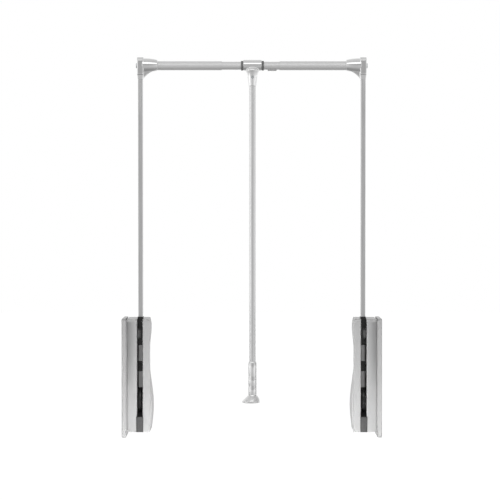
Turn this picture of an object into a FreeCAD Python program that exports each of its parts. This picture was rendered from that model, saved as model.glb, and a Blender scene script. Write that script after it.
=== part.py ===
"""Pull down closet rod: two wall housings, two swinging arms and a telescopic rail.

Frame: +X runs from the left wall to the right wall, -Y points out of the wardrobe and
+Z up. The origin is the middle of the left wall plate's screws, on the wall's surface.
The left side is modelled and the right side is its mirror image about mid-width.
Lengths are in millimetres. Names that end in _x, _y or _z are places in this frame.
"""
import FreeCAD, Part
import math
import os
from types import SimpleNamespace

import Sketcher

DRIVING_SIZES = [
    # whole object
    ("overall_width", 580, "from wall to wall, as the rail is set"),
    ("running_gap", 0.05, "radial clearance of a shaft that turns or slides"),
    ("fit_gap", 0.3, "clearance between pieces that pass or face each other"),
    # wall plate
    ("plate_height", 266, "wall plate, top to bottom"),
    ("plate_depth", 100, "wall plate and housing, front to back"),
    ("plate_thickness", 9, "wall plate"),
    ("plate_corner", 6, "radius of the wall plate's corners"),
    ("plate_edge", 2, "rounding of the wall plate's outer edges"),
    ("wall_screw_radius", 2.75, "hole for a 5 mm wall screw"),
    ("wall_screw_sink", 2.5, "countersink of the wall screw"),
    ("wall_screw_end", 43, "wall screws from the wall plate's top and foot"),
    ("wall_screw_side", 22, "wall screws from the wall plate's front and back"),
    ("island_rise", 2, "how far the plate's island stands inside the housing"),
    # housing shells
    ("shadow_gap", 3, "open joint between wall plate and housing"),
    ("shell_lift", 13, "housing's foot above the wall plate's foot"),
    ("shell_top_inset", 1.5, "housing's top below the wall plate's top"),
    ("shell_wall", 2.5, "wall of both shells"),
    ("shell_edge", 2, "rounding of the housing's front edges"),
    ("outer_shell_width", 22, "the shell on the wall side"),
    ("front_crown", 3, "how far its crowned front falls back towards the wall plate"),
    ("slot_width", 13, "slot that the arm swings in"),
    ("slot_depth_low", 80, "slot, front to back, beside the hub"),
    ("slot_depth_high", 65, "slot, front to back, above the hub"),
    ("slot_step_rise", 38, "where the slot gets shallower, above the pivot"),
    ("slot_floor", 4, "floor behind the stop block"),
    ("flange_width", 16.5, "front strip of the inner shell"),
    ("flange_depth", 8, "front strip of the inner shell, front to back"),
    ("flange_corner", 5, "rounding of that strip's upper corner"),
    ("foot_swell", 15.5, "inner shell's thickness at its foot"),
    ("low_swell", 18.2, "inner shell's thickness below the pivot"),
    ("high_swell", 17.8, "inner shell's thickness above the pivot"),
    ("waist_swell", 10.9, "inner shell's thickness at the waist"),
    ("shoulder_swell", 15.2, "inner shell's thickness near its top"),
    ("head_swell", 12, "inner shell's thickness at its top"),
    ("low_swell_drop", 45, "where low_swell is measured, below the pivot"),
    ("high_swell_rise", 19, "where high_swell is measured, above the pivot"),
    ("waist_drop", 72.5, "waist below the housing's top"),
    ("shoulder_drop", 20.5, "shoulder below the housing's top"),
    ("rib_thickness", 1.6, "cross ribs in the inner shell"),
    ("rib_rows", 5, "how many of them"),
    ("shell_screw_radius", 2, "shank of the housing screws"),
    ("shell_screw_head", 3.8, "radius of the housing screws' heads"),
    ("shell_screw_head_height", 2.4, "housing screws' heads"),
    ("shell_screw_seat", 5.5, "seat of the screw heads from the slot"),
    ("shell_boss_radius", 5.6, "bosses round the housing screws in the inner shell"),
    ("outer_boss_radius", 3.8, "bosses round the housing screws in the outer shell"),
    ("shell_screw_inset", 6.2, "rear screws from the housing's back"),
    ("shell_screw_low", 27, "lowest rear screw above the plate's foot"),
    ("shell_screw_top", 16.5, "highest rear screw below the housing's top"),
    ("stop_screw_setback", 15, "screw of the stop block behind the housing's front"),
    ("stop_screw_height", 27, "screw of the stop block above the plate's foot"),
    ("shell_screw_bite", 3, "thread engagement in the wall plate"),
    # pivot and drive
    ("pivot_height", 80, "pivot above the plate's foot"),
    ("pivot_setback", 45, "pivot behind the housing's front"),
    ("journal_radius", 4.5, "round ends of the axle"),
    ("axle_square", 10, "across the flats of the axle's middle"),
    ("axle_inner_end", 12, "axle's end past the slot"),
    ("axle_bearing_depth", 4.5, "depth of the axle's bearing in the wall plate"),
    ("bearing_boss_radius", 8.5, "boss round the axle's end in the inner shell"),
    ("rib_depth", 4, "rib that backs the rack, front to back"),
    ("rib_reach", 20, "that rib above and below the pivot"),
    ("bush_radius", 9, "bush that turns in the outer shell's wall"),
    ("bush_flange_radius", 11, "flange of that bush"),
    ("bush_flange", 1, "thickness of the flange"),
    ("gear_module", 1.5, "teeth of pinion and rack"),
    ("gear_teeth", 24, "teeth of the pinion"),
    ("pressure_angle", 20, "of pinion and rack, in degrees"),
    ("tooth_play", 0.25, "backlash between pinion and rack"),
    ("gear_width", 11, "pinion and rack along the axle"),
    ("rack_back", 7, "rack's back behind its teeth"),
    ("rack_below", 50, "rack's foot below the pivot"),
    ("head_clearance", 3, "crosshead above the pinion's tips"),
    ("head_height", 10, "crosshead"),
    ("head_width", 14, "crosshead along the axle"),
    ("guide_rod_radius", 3, "rod that guides crosshead and spring"),
    ("guide_rod_offset", 36, "guide rod behind the pivot"),
    ("spring_radius", 6.3, "outside of the lift spring"),
    ("spring_bore", 4.1, "inside of the lift spring"),
    ("seat_thickness", 3, "spring seat at the housing's top"),
    ("damper_radius", 6.5, "damper cylinder"),
    ("damper_rod_radius", 2.5, "damper rod"),
    ("damper_offset", 2, "damper in front of the pivot"),
    ("damper_clearance", 17.4, "damper cylinder above the crosshead's highest place"),
    ("damper_engaged", 30, "damper rod inside its cylinder at rest"),
    ("damper_bore", 5, "bore of the damper cylinder"),
    ("damper_gland", 4, "end of the cylinder that the rod passes through"),
    ("piston_height", 6, "piston of the damper rod"),
    ("crosshead_lip", 6, "crosshead beyond the axis of its rods"),
    # arm
    ("hub_radius", 33, "black hub round the pivot"),
    ("hub_gap", 0.3, "hub to slot wall, each side"),
    ("hub_edge", 5, "rounding of the hub's rim"),
    ("hub_seat_height", 30, "seat of the arm tube above the pivot"),
    ("tongue_length", 52, "hub's tongue inside the arm tube"),
    ("arm_thickness", 10.5, "arm tube along X"),
    ("arm_depth", 20, "arm tube, front to back"),
    ("arm_wall", 1.2, "wall of the arm tube"),
    ("arm_corner", 1.5, "rounding of the arm tube's edges"),
    ("arm_reach", 751, "from the pivot to the rail's axis"),
    ("shoe_thickness", 1, "black shoe's cheeks beside the arm tube"),
    ("shoe_front", 3, "black shoe in front of the arm tube"),
    ("shoe_back", 2, "black shoe behind the arm tube"),
    ("shoe_proud", 4, "shoe's top above the housing's top"),
    ("shoe_length", 63.5, "black shoe along the arm"),
    ("shoe_edge", 1, "rounding of the edges of shoe and band"),
    ("band_rise", 66, "band's foot above the pivot"),
    ("band_length", 23, "black band along the arm"),
    ("band_thickness", 1, "band round the arm tube"),
    ("rivet_radius", 2, "rivets through arm tube and tongue"),
    ("rivet_head", 3.5, "radius of a rivet's head"),
    ("rivet_head_height", 0.8, "height of a rivet's head"),
    ("rivet_low", 40, "lower rivet above the pivot"),
    ("rivet_high", 54, "upper rivet above the pivot"),
    ("swing", 115, "how far the arms swing, in degrees"),
    ("stop_depth", 30, "stop block, front to back"),
    ("stop_cap_width", 15.4, "stop block's cap in front of the shells"),
    ("stop_cap", 1.5, "thickness of that cap"),
    ("buffer_height", 20, "rest buffer"),
    ("buffer_width", 9, "rest buffer along X"),
    ("buffer_drop", 34.5, "rest buffer's middle below the housing's top"),
    ("buffer_stem_radius", 3, "stem of the rest buffer"),
    ("buffer_stem", 12, "length of that stem"),
    # corner bracket
    ("bracket_width", 14.6, "bracket's block along X"),
    ("bracket_depth", 30, "bracket's block, front to back"),
    ("bracket_below", 31, "bracket's foot below the rail's axis"),
    ("bracket_above", 18.5, "block's top above the rail's axis"),
    ("bracket_socket", 24, "arm tube inside the bracket"),
    ("bracket_bevel", 6.5, "bevels at the front and back of the block's top"),
    ("bracket_edge", 2.5, "rounding of the block's upright edges"),
    ("collar_below", 20, "tapered collar's top below the rail's axis"),
    ("collar_wall", 0.6, "wall of the collar at its foot"),
    ("trumpet_length", 31, "rail socket of the bracket"),
    ("trumpet_root_radius", 15.8, "rail socket at the block"),
    ("trumpet_shoulder", 9, "where the rail socket starts to narrow, from the block"),
    ("trumpet_shoulder_radius", 15.6, "rail socket there"),
    ("trumpet_mouth_radius", 12, "rail socket at its mouth"),
    ("web_radius", 50, "hollow curve under the rail socket"),
    ("web_thickness", 13, "web under the rail socket, front to back"),
    ("web_setback", 2, "web's end from the socket's mouth"),
    ("rail_screw_radius", 3, "screw that holds the rail tube"),
    ("rail_screw_head", 5.6, "radius of that screw's head"),
    ("rail_screw_head_height", 2.6, "that screw's head"),
    ("rail_plug_length", 22, "plug in the rail tube's end"),
    # rail
    ("rail_radius", 10, "thick rail tube"),
    ("rail_wall", 1, "wall of every rail tube"),
    ("rail_start", 4, "rail tube's end from the bracket's block"),
    ("tee_offset", 1.5, "middle of the tee to the right of mid-width"),
    ("left_rail_gap", 68.5, "left rail tube's end from the middle of the tee"),
    ("right_rail_gap", 60.8, "right rail tube's end from the middle of the tee"),
    ("centre_overlap", 95, "centre tube inside each rail tube"),
    ("casting_lift", 1.2, "middle of the rail socket and of the tee's sleeve above the rail's axis"),
    ("tee_length", 41.5, "tee's sleeve along the rail"),
    ("tee_radius", 12.2, "tee's sleeve"),
    ("ring_width", 4.8, "black ring beside the tee"),
    ("ring_radius", 10.8, "black ring"),
    ("neck_top", 4, "top of the tee's neck below the rail's axis"),
    ("neck_top_radius", 11, "tee's neck at its top, inside the sleeve"),
    ("neck_shoulder", 10, "swelling curve of the neck's shoulder"),
    ("neck_root_radius", 16.2, "tee's neck where it leaves the sleeve"),
    ("neck_root", 10.5, "that place below the rail's axis"),
    ("neck_radius", 10.9, "tee's neck at mid-length"),
    ("neck_middle", 27, "mid-length of the neck below the rail's axis"),
    ("neck_hollow", 36, "hollow curve between them"),
    ("neck_foot_radius", 8.7, "tee's neck at its foot"),
    ("neck_length", 46, "foot of the neck below the rail's axis"),
    ("rod_radius", 7.5, "pull rod"),
    ("rod_wall", 1.2, "wall of the pull rod"),
    ("rod_socket", 26, "pull rod inside the neck"),
    ("rod_screw_radius", 1.8, "cross screw of the pull rod"),
    ("rod_screw_head", 3, "radius of its head"),
    ("rod_screw_head_height", 1.5, "height of its head"),
    ("rod_screw_seat", 9.8, "flat seat of its head in front of the rod's axis"),
    ("rod_screw_drop", 26, "cross screw below the rail's axis"),
    ("rod_length", 700, "pull rod's foot below the rail's axis"),
    ("grip_radius", 10.5, "handle grip"),
    ("grip_foot_radius", 10.9, "handle grip at its foot"),
    ("grip_bore", 36, "pull rod inside the handle grip"),
    ("grip_length", 77, "handle grip"),
    ("grip_shoulder", 5, "cone at the grip's top"),
    ("grip_top_radius", 8.8, "grip where it meets the pull rod"),
    ("first_groove", 33, "uppermost groove below the grip's top"),
    ("groove_spacing", 21, "from groove to groove"),
    ("groove_depth", 0.7, "the grooves' depth"),
    ("long_bulge", 150, "curve of the grip above its grooves"),
    ("short_bulge", 56, "curve of the grip between its grooves"),
    ("foot_length", 15.5, "flared foot of the handle"),
    ("foot_waist_drop", 4, "middle section of the flare below the grip"),
    ("foot_waist_radius", 14.6, "that section"),
    ("foot_waist_shift", 0.4, "that section's middle to the left of the pull rod"),
    ("foot_radius", 19.9, "rim of the handle's foot"),
    ("foot_shift", 3.4, "rim's middle to the left of the pull rod"),
    ("foot_rim", 3, "straight rim of the handle's foot"),
    ("foot_edge", 1, "rounding of the rim's lower edge"),
    # lock button
    ("button_length", 20, "lock button along the rail"),
    ("button_width", 8, "lock button across the rail"),
    ("button_proud", 2.5, "lock button below the centre tube"),
    ("button_travel", 2.5, "how far the button is pushed in"),
    ("button_gap", 6.7, "from the button to the right rail tube"),
    ("button_flange", 1.2, "flange that keeps the button in"),
    ("button_rim", 1.5, "that flange, beyond the button's sides"),
    ("button_edge", 1.2, "rounding of the button's outer edges"),
    ("button_spring_radius", 2.4, "outside of the spring over the button"),
    ("button_spring_bore", 1.2, "inside of that spring"),
]

doc = FreeCAD.newDocument("PullDownClosetRod")
sheet = doc.addObject("Spreadsheet::Sheet", "Sizes")
for row, (alias, size, note) in enumerate(DRIVING_SIZES, start=1):
    sheet.set(f"A{row}", alias)
    sheet.set(f"B{row}", str(size))
    sheet.set(f"C{row}", note)
    sheet.setAlias(f"B{row}", alias)
doc.recompute()


# ---- places that follow from the driving sizes, as expressions ----

# S.name is a driving size as an expression, ready to put into another one.
S = SimpleNamespace(**{alias: f"Sizes.{alias}" for alias, size, note in DRIVING_SIZES})


def plus(*terms):
    return "(" + " + ".join(terms) + ")"


def minus(first, *others):
    return "(" + " - ".join((first,) + others) + ")"


def half(term):
    return f"({term} / 2)"


def neg(term):
    return f"(-1 * {term})"


def number(expression):
    """The present value of an expression."""
    return float(sheet.evalExpression(expression))


front_y = neg(half(S.plate_depth))
rear_y = half(S.plate_depth)
plate_foot_z = neg(half(S.plate_height))
plate_top_z = half(S.plate_height)
shell_x = plus(S.plate_thickness, S.shadow_gap)
island_x = plus(shell_x, S.island_rise)
slot_x = plus(shell_x, S.outer_shell_width)
slot_end_x = plus(slot_x, S.slot_width)
arm_x = plus(slot_x, half(S.slot_width))
cavity_end_x = minus(slot_x, S.shell_wall)
cavity_x = half(plus(island_x, cavity_end_x))
shell_foot_z = plus(plate_foot_z, S.shell_lift)
shell_top_z = minus(plate_top_z, S.shell_top_inset)
shell_height = minus(shell_top_z, shell_foot_z)
cavity_top_z = minus(shell_top_z, S.shell_wall)
pivot_y = plus(front_y, S.pivot_setback)
pivot_z = plus(plate_foot_z, S.pivot_height)
slot_low_y = plus(front_y, S.slot_depth_low)
slot_high_y = plus(front_y, S.slot_depth_high)
slot_step_z = plus(pivot_z, S.slot_step_rise)
stop_rear_y = plus(front_y, S.stop_depth)
buffer_z = minus(shell_top_z, S.buffer_drop)
rail_z = plus(pivot_z, S.arm_reach)
pitch_radius = f"({S.gear_module} * {S.gear_teeth} / 2)"
tip_radius = plus(pitch_radius, S.gear_module)
rack_travel = f"({pitch_radius} * {S.swing} * {math.pi} / 180)"
rack_pitch_y = plus(pivot_y, pitch_radius)
rack_root_y = plus(rack_pitch_y, f"1.25 * {S.gear_module}")
rack_rear_y = plus(rack_root_y, S.rack_back)
head_z = plus(pivot_z, tip_radius, S.head_clearance)
head_top_z = plus(head_z, S.head_height)
guide_y = plus(pivot_y, S.guide_rod_offset)
damper_y = minus(pivot_y, S.damper_offset)
seat_z = minus(cavity_top_z, S.seat_thickness)
damper_foot_z = plus(head_top_z, rack_travel, S.damper_clearance)
hub_half = minus(half(S.slot_width), S.hub_gap)
arm_front_y = minus(pivot_y, half(S.arm_depth))
arm_rear_y = plus(pivot_y, half(S.arm_depth))
arm_foot_z = plus(pivot_z, S.hub_seat_height)
bracket_foot_z = minus(rail_z, S.bracket_below)
bracket_top_z = plus(rail_z, S.bracket_above)
bracket_inner_x = plus(arm_x, half(S.bracket_width))
bracket_outer_x = minus(arm_x, half(S.bracket_width))
arm_top_z = plus(bracket_foot_z, S.bracket_socket)
rail_bore = minus(S.rail_radius, S.rail_wall)
centre_radius = minus(rail_bore, S.running_gap)
rail_start_x = plus(bracket_inner_x, S.rail_start)
tee_x = plus(half(S.overall_width), S.tee_offset)
tee_left_x = minus(tee_x, half(S.tee_length))
tee_right_x = plus(tee_x, half(S.tee_length))
left_rail_end_x = minus(tee_x, S.left_rail_gap)
right_rail_end_x = plus(tee_x, S.right_rail_gap)
rod_foot_z = neg(S.rod_length)
grip_top_z = plus(rod_foot_z, S.grip_bore)
grip_foot_z = minus(grip_top_z, S.grip_length)
button_right_x = minus(right_rail_end_x, S.button_gap)
button_x = minus(button_right_x, half(S.button_length))
flange_reach = plus(half(S.button_width), S.button_rim)
centre_bore = minus(centre_radius, S.rail_wall)
flange_z = plus(f"-1 * sqrt({centre_bore} ^ 2 - {flange_reach} ^ 2)", S.running_gap)

stop_screw = (plus(front_y, S.stop_screw_setback), plus(plate_foot_z, S.stop_screw_height))
shell_screws = [stop_screw] + [
    (minus(rear_y, S.shell_screw_inset), z)
    for z in (plus(plate_foot_z, S.shell_screw_low), "0", minus(shell_top_z, S.shell_screw_top))
]
swells = [
    (shell_foot_z, S.foot_swell),
    (minus(pivot_z, S.low_swell_drop), S.low_swell),
    (plus(pivot_z, S.high_swell_rise), S.high_swell),
    (minus(shell_top_z, S.waist_drop), S.waist_swell),
    (minus(shell_top_z, S.shoulder_drop), S.shoulder_swell),
    (shell_top_z, S.head_swell),
]


# ---- helpers: sketches and features ----

def make_body(name):
    """A PartDesign body that may hold several solids, such as a set of screws."""
    body = doc.addObject("PartDesign::Body", name)
    body.AllowCompound = True
    return body


def outline(points, arcs=None):
    """A closed outline through (x, y) expressions, for sketch().

    arcs gives the radius, as an expression, of the stretch that starts at a point's index;
    a stretch with no entry is straight. A minus before the radius bends it to the left.
    """
    arcs = arcs or {}

    def draw(target):
        places = [FreeCAD.Vector(number(x), number(y), 0) for x, y in points]
        first = target.GeometryCount
        count = len(points)
        ends = []
        for i in range(count):
            start, end = places[i], places[(i + 1) % count]
            if i in arcs:
                curve, left = bent(start, end, number(arcs[i]))
                ends.append((2, 1) if left else (1, 2))
            else:
                curve = Part.LineSegment(start, end)
                ends.append((1, 2))
            target.addGeometry(curve, False)
        for i in range(count):
            after = (i + 1) % count
            target.addConstraint(Sketcher.Constraint(
                "Coincident", first + i, ends[i][1], first + after, ends[after][0]))
        for i in range(count):
            hold_point(target, first + i, ends[i][0], points[i], places[i])
            if i in arcs:
                radius = arcs[i].lstrip("-")
                size = target.addConstraint(Sketcher.Constraint(
                    "Radius", first + i, number(radius)))
                target.setExpression(f"Constraints[{size}]", radius)
    return draw


def bent(start, end, radius):
    """The arc from start to end, and whether its centre lies on the left of the way."""
    left = radius < 0
    way = end - start
    normal = FreeCAD.Vector(-way.y, way.x, 0).normalize() * (1 if left else -1)
    reach = math.sqrt(radius ** 2 - (way.Length / 2) ** 2)
    centre = (start + end) / 2 + normal * reach
    first, last = (start, end) if left else (end, start)
    angles = [math.atan2(point.y - centre.y, point.x - centre.x) for point in (first, last)]
    circle_line = Part.Circle(centre, FreeCAD.Vector(0, 0, 1), abs(radius))
    return Part.ArcOfCircle(circle_line, *angles), not left


def rectangle(x0, x1, y0, y1):
    return outline([(x0, y0), (x1, y0), (x1, y1), (x0, y1)])


def circle(x, y, radius):
    """A circle with its centre and radius as expressions, for sketch()."""
    def draw(target):
        centre = (number(x), number(y))
        index = target.addGeometry(
            Part.Circle(FreeCAD.Vector(*centre, 0), FreeCAD.Vector(0, 0, 1), number(radius)), False)
        hold_point(target, index, 3, (x, y), centre)
        size = target.addConstraint(Sketcher.Constraint("Radius", index, number(radius)))
        target.setExpression(f"Constraints[{size}]", radius)
    return draw


def hold_point(target, index, end, point, place):
    """Tie one point of a sketch to its place from the sketch's origin."""
    for kind, axis in (("DistanceX", 0), ("DistanceY", 1)):
        tie = target.addConstraint(Sketcher.Constraint(kind, -1, 1, index, end, place[axis]))
        target.setExpression(f"Constraints[{tie}]", point[axis])


def sketch(body, name, role, offset, *outlines):
    """A sketch on one of the body's own origin planes, moved along that plane's normal."""
    target = body.newObject("Sketcher::SketchObject", name)
    plane = [item for item in body.Origin.OriginFeatures if item.Role == role][0]
    target.AttachmentSupport = [(plane, "")]
    target.MapMode = "FlatFace"
    target.setExpression(".AttachmentOffset.Base.z", offset)
    for draw in outlines:
        draw(target)
    return target


def feature(body, kind, name, profile, length, reverse):
    item = body.newObject(f"PartDesign::{kind}", name)
    item.Profile = profile
    item.setExpression("Length", length)
    item.Reversed = reverse
    return item


def pad(body, name, profile, length, reverse=False):
    return feature(body, "Pad", name, profile, length, reverse)


def pocket(body, name, profile, length, reverse=False):
    return feature(body, "Pocket", name, profile, length, reverse)


def turned(body, kind, name, profile, axis_role):
    """A full Revolution or Groove about one of the body's origin axes."""
    item = body.newObject(f"PartDesign::{kind}", name)
    item.Profile = profile
    item.ReferenceAxis = (profile, [axis_role])
    item.Angle = 360
    return item


def soften(body, kind, name, base, chosen, size):
    """A Fillet or Chamfer on the edges of base for which chosen(edge) is true."""
    doc.recompute()
    names = [f"Edge{i}" for i, edge in enumerate(base.Shape.Edges, start=1) if chosen(edge)]
    if not names:
        raise ValueError(f"{name}: no edge to soften")
    item = body.newObject(f"PartDesign::{kind}", name)
    item.Base = (base, names)
    item.setExpression("Radius" if kind == "Fillet" else "Size", size)
    return item


def straight(edge, axis):
    """True for a straight edge along the axis 0, 1 or 2."""
    if not isinstance(edge.Curve, Part.Line):
        return False
    return abs(abs(edge.Curve.Direction[axis]) - 1) < 1e-6


def at(edge, axis, *expressions):
    """True if the edge's middle lies at one of these places along the axis."""
    return any(abs(edge.CenterOfMass[axis] - number(item)) < 1e-4 for item in expressions)


XY, XZ, YZ = "XY_Plane", "XZ_Plane", "YZ_Plane"


def put(body, x, y, z):
    """Place a body that is drawn round its own axis."""
    body.setExpression("Placement.Base.x", x)
    body.setExpression("Placement.Base.y", y)
    body.setExpression("Placement.Base.z", z)


# ---- housing ----

def wall_plate():
    body = make_body("left_wall_plate")
    slab = pad(body, "slab", sketch(body, "slab_outline", YZ, "0", rectangle(
        front_y, rear_y, plate_foot_z, plate_top_z)), S.plate_thickness)
    corners = soften(body, "Fillet", "slab_corners", slab, lambda edge: straight(edge, 0),
                     S.plate_corner)
    soften(body, "Fillet", "slab_edges", corners, lambda edge: at(edge, 0, "0"), S.plate_edge)
    inset = plus(S.shell_wall, S.fit_gap)
    pad(body, "island", sketch(body, "island_outline", YZ, S.plate_thickness, rectangle(
        plus(front_y, S.front_crown, inset), minus(rear_y, inset),
        plus(shell_foot_z, inset), minus(shell_top_z, inset))), minus(island_x, S.plate_thickness))
    screws = [
        circle(y, z, S.wall_screw_radius)
        for y in (plus(front_y, S.wall_screw_side), minus(rear_y, S.wall_screw_side))
        for z in (plus(plate_foot_z, S.wall_screw_end), minus(plate_top_z, S.wall_screw_end))
    ]
    holes = pocket(body, "wall_screws", sketch(body, "wall_screw_places", YZ, island_x, *screws),
                   island_x)
    soften(body, "Chamfer", "wall_screw_sinks", holes,
           lambda edge: isinstance(edge.Curve, Part.Circle) and at(edge, 0, island_x),
           S.wall_screw_sink)
    pocket(body, "bearing", sketch(body, "bearing_place", YZ, island_x, circle(
        pivot_y, pivot_z, plus(S.journal_radius, S.running_gap))), S.axle_bearing_depth)
    pocket(body, "shell_screw_threads", sketch(body, "shell_screw_places", YZ, island_x, *[
        circle(y, z, plus(S.shell_screw_radius, S.running_gap)) for y, z in shell_screws
    ]), plus(S.shell_screw_bite, S.fit_gap))
    return body


def outer_shell():
    body = make_body("left_outer_shell")
    crown_y = plus(front_y, S.front_crown)
    crown_radius = f"(({S.outer_shell_width} ^ 2 + {S.front_crown} ^ 2) / (2 * {S.front_crown}))"
    block = pad(body, "block", sketch(body, "block_outline", XY, shell_foot_z, outline([
        (shell_x, rear_y), (shell_x, crown_y), (slot_x, front_y), (slot_x, rear_y),
    ], {1: f"-{crown_radius}"})), shell_height)
    soften(body, "Fillet", "front_edges", block,
           lambda edge: edge.CenterOfMass.y < number(crown_y) + 1e-4, S.shell_edge)
    pocket(body, "tray", sketch(body, "tray_outline", YZ, cavity_end_x, rectangle(
        plus(crown_y, S.shell_wall), minus(rear_y, S.shell_wall),
        plus(shell_foot_z, S.shell_wall), cavity_top_z)), minus(cavity_end_x, shell_x))
    pad(body, "spine", sketch(body, "spine_outline", YZ, slot_x, outline([
        (plus(stop_rear_y, S.fit_gap), shell_foot_z),
        (rear_y, shell_foot_z),
        (rear_y, shell_top_z),
        (slot_high_y, shell_top_z),
        (slot_high_y, slot_step_z),
        (slot_low_y, slot_step_z),
        (slot_low_y, plus(shell_foot_z, S.slot_floor)),
        (plus(stop_rear_y, S.fit_gap), plus(shell_foot_z, S.slot_floor)),
    ])), S.slot_width)
    pad(body, "screw_bosses", sketch(body, "boss_places", YZ, island_x, *[
        circle(y, z, S.outer_boss_radius) for y, z in shell_screws
    ]), minus(cavity_end_x, island_x))
    rib_x = minus(cavity_x, half(S.gear_width))
    rib_y = plus(rack_rear_y, S.running_gap)
    pad(body, "rack_rib", sketch(body, "rib_outline", YZ, rib_x, rectangle(
        rib_y, plus(rib_y, S.rib_depth),
        minus(pivot_z, S.rib_reach), plus(pivot_z, S.rib_reach))), minus(cavity_end_x, rib_x))
    pocket(body, "screw_holes", sketch(body, "hole_places", YZ, slot_end_x, *[
        circle(y, z, plus(S.shell_screw_radius, S.running_gap)) for y, z in shell_screws
    ]), minus(slot_end_x, shell_x))
    pocket(body, "bush_hole", sketch(body, "bush_place", YZ, slot_x, circle(
        pivot_y, pivot_z, plus(S.bush_radius, S.running_gap))), S.shell_wall)
    pocket(body, "buffer_hole", sketch(body, "buffer_place", XZ, neg(slot_high_y), circle(
        arm_x, buffer_z, plus(S.buffer_stem_radius, S.running_gap))),
        plus(S.buffer_stem, S.fit_gap))
    return body


def lofted(body, name, sections):
    """A smooth loft through rectangles (x0, x1, y0, y1) at their heights."""
    profiles = [
        sketch(body, f"{name}_{index}", XY, z, rectangle(*sides))
        for index, (z, sides) in enumerate(sections)
    ]
    loft = body.newObject("PartDesign::AdditiveLoft", name)
    loft.Profile = profiles[0]
    loft.Sections = profiles[1:]
    loft.Ruled = False
    return loft


def inner_shell():
    skin = make_body("left_inner_skin")
    flange_y = plus(front_y, S.flange_depth)
    lofted(skin, "waisted_body", [
        (z, (slot_end_x, plus(slot_end_x, swell), flange_y, rear_y)) for z, swell in swells
    ])
    flange_x = plus(slot_end_x, S.flange_width)
    flange = pad(skin, "front_flange", sketch(skin, "flange_outline", XZ, neg(flange_y), outline([
        (slot_end_x, shell_foot_z), (flange_x, shell_foot_z),
        (flange_x, minus(shell_top_z, S.flange_corner)),
        (minus(flange_x, S.flange_corner), shell_top_z), (slot_end_x, shell_top_z),
    ], {2: f"-{S.flange_corner}"})), S.flange_depth)
    soften(skin, "Fillet", "front_edges", flange, lambda edge: at(edge, 1, front_y), S.shell_edge)
    through = plus(S.flange_width, S.high_swell)
    pocket(skin, "screw_holes", sketch(skin, "hole_places", YZ, slot_end_x, *[
        circle(y, z, plus(S.shell_screw_radius, S.running_gap)) for y, z in shell_screws
    ]), through, reverse=True)
    pocket(skin, "screw_seats", sketch(skin, "seat_places", YZ, plus(
        slot_end_x, S.shell_screw_seat), *[
        circle(y, z, plus(S.shell_screw_head, half(S.fit_gap))) for y, z in shell_screws
    ]), through, reverse=True)
    pocket(skin, "bearing", sketch(skin, "bearing_place", YZ, slot_end_x, circle(
        pivot_y, pivot_z, plus(S.journal_radius, S.running_gap))),
        plus(S.axle_inner_end, S.fit_gap), reverse=True)

    core = make_body("left_inner_core")
    heights = [plus(shell_foot_z, S.shell_wall)] + [z for z, _swell in swells[1:-1]] + [
        cavity_top_z]
    lofted(core, "hollow", [
        (z, (slot_end_x, plus(slot_end_x, minus(swell, S.shell_wall)),
             plus(front_y, S.shell_wall), minus(rear_y, S.shell_wall)))
        for z, (_place, swell) in zip(heights, swells)
    ])
    pocket(core, "bosses", sketch(core, "boss_places", YZ, slot_end_x, circle(
        pivot_y, pivot_z, S.bearing_boss_radius), *[
        circle(y, z, S.shell_boss_radius) for y, z in shell_screws
    ]), through, reverse=True)
    pitch = f"({shell_height} / ({S.rib_rows} + 1))"
    pocket(core, "ribs", sketch(core, "rib_places", YZ, slot_end_x, *[
        rectangle(front_y, rear_y, plus(shell_foot_z, f"{row} * {pitch}"),
                  plus(shell_foot_z, f"{row} * {pitch}", S.rib_thickness))
        for row in range(1, int(number(S.rib_rows)) + 1)
    ]), through, reverse=True)
    shell = doc.addObject("Part::Cut", "left_inner_shell")
    shell.Base = skin
    shell.Tool = core
    return shell


def housing_screws():
    body = make_body("left_housing_screws")
    shank_x = minus(island_x, S.shell_screw_bite)
    seat_x = plus(slot_end_x, S.shell_screw_seat)
    pad(body, "shanks", sketch(body, "shank_places", YZ, shank_x, *[
        circle(y, z, S.shell_screw_radius) for y, z in shell_screws
    ]), minus(seat_x, shank_x))
    pad(body, "heads", sketch(body, "head_places", YZ, seat_x, *[
        circle(y, z, S.shell_screw_head) for y, z in shell_screws
    ]), S.shell_screw_head_height)
    return body


def stop_block():
    """Its sloping top lies along the arm tube's face when the arm is all the way down."""
    body = make_body("left_stop_block")

    def top_z(y):
        drop = f"({pivot_y} - {y}) * tan({S.swing} - 90)"
        face = f"({S.arm_depth} / 2 + {S.fit_gap}) / cos({S.swing} - 90)"
        return f"({pivot_z} - {drop} - {face})"

    pad(body, "block", sketch(body, "block_outline", YZ, plus(slot_x, S.fit_gap), outline([
        (front_y, shell_foot_z),
        (stop_rear_y, shell_foot_z),
        (stop_rear_y, top_z(stop_rear_y)),
        (front_y, top_z(front_y)),
    ])), minus(S.slot_width, f"2 * {S.fit_gap}"))
    cap_y = minus(front_y, S.stop_cap)
    pad(body, "cap", sketch(body, "cap_outline", YZ, minus(arm_x, half(S.stop_cap_width)), outline([
        (cap_y, shell_foot_z),
        (front_y, shell_foot_z),
        (front_y, top_z(front_y)),
        (cap_y, top_z(cap_y)),
    ])), S.stop_cap_width)
    pocket(body, "hub_hollow", sketch(body, "hub_place", YZ, slot_end_x, circle(
        pivot_y, pivot_z, plus(S.hub_radius, S.fit_gap))), S.slot_width)
    pocket(body, "screw_hole", sketch(body, "screw_place", YZ, slot_end_x, circle(
        *stop_screw, plus(S.shell_screw_radius, S.running_gap))), S.slot_width)
    return body


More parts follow.
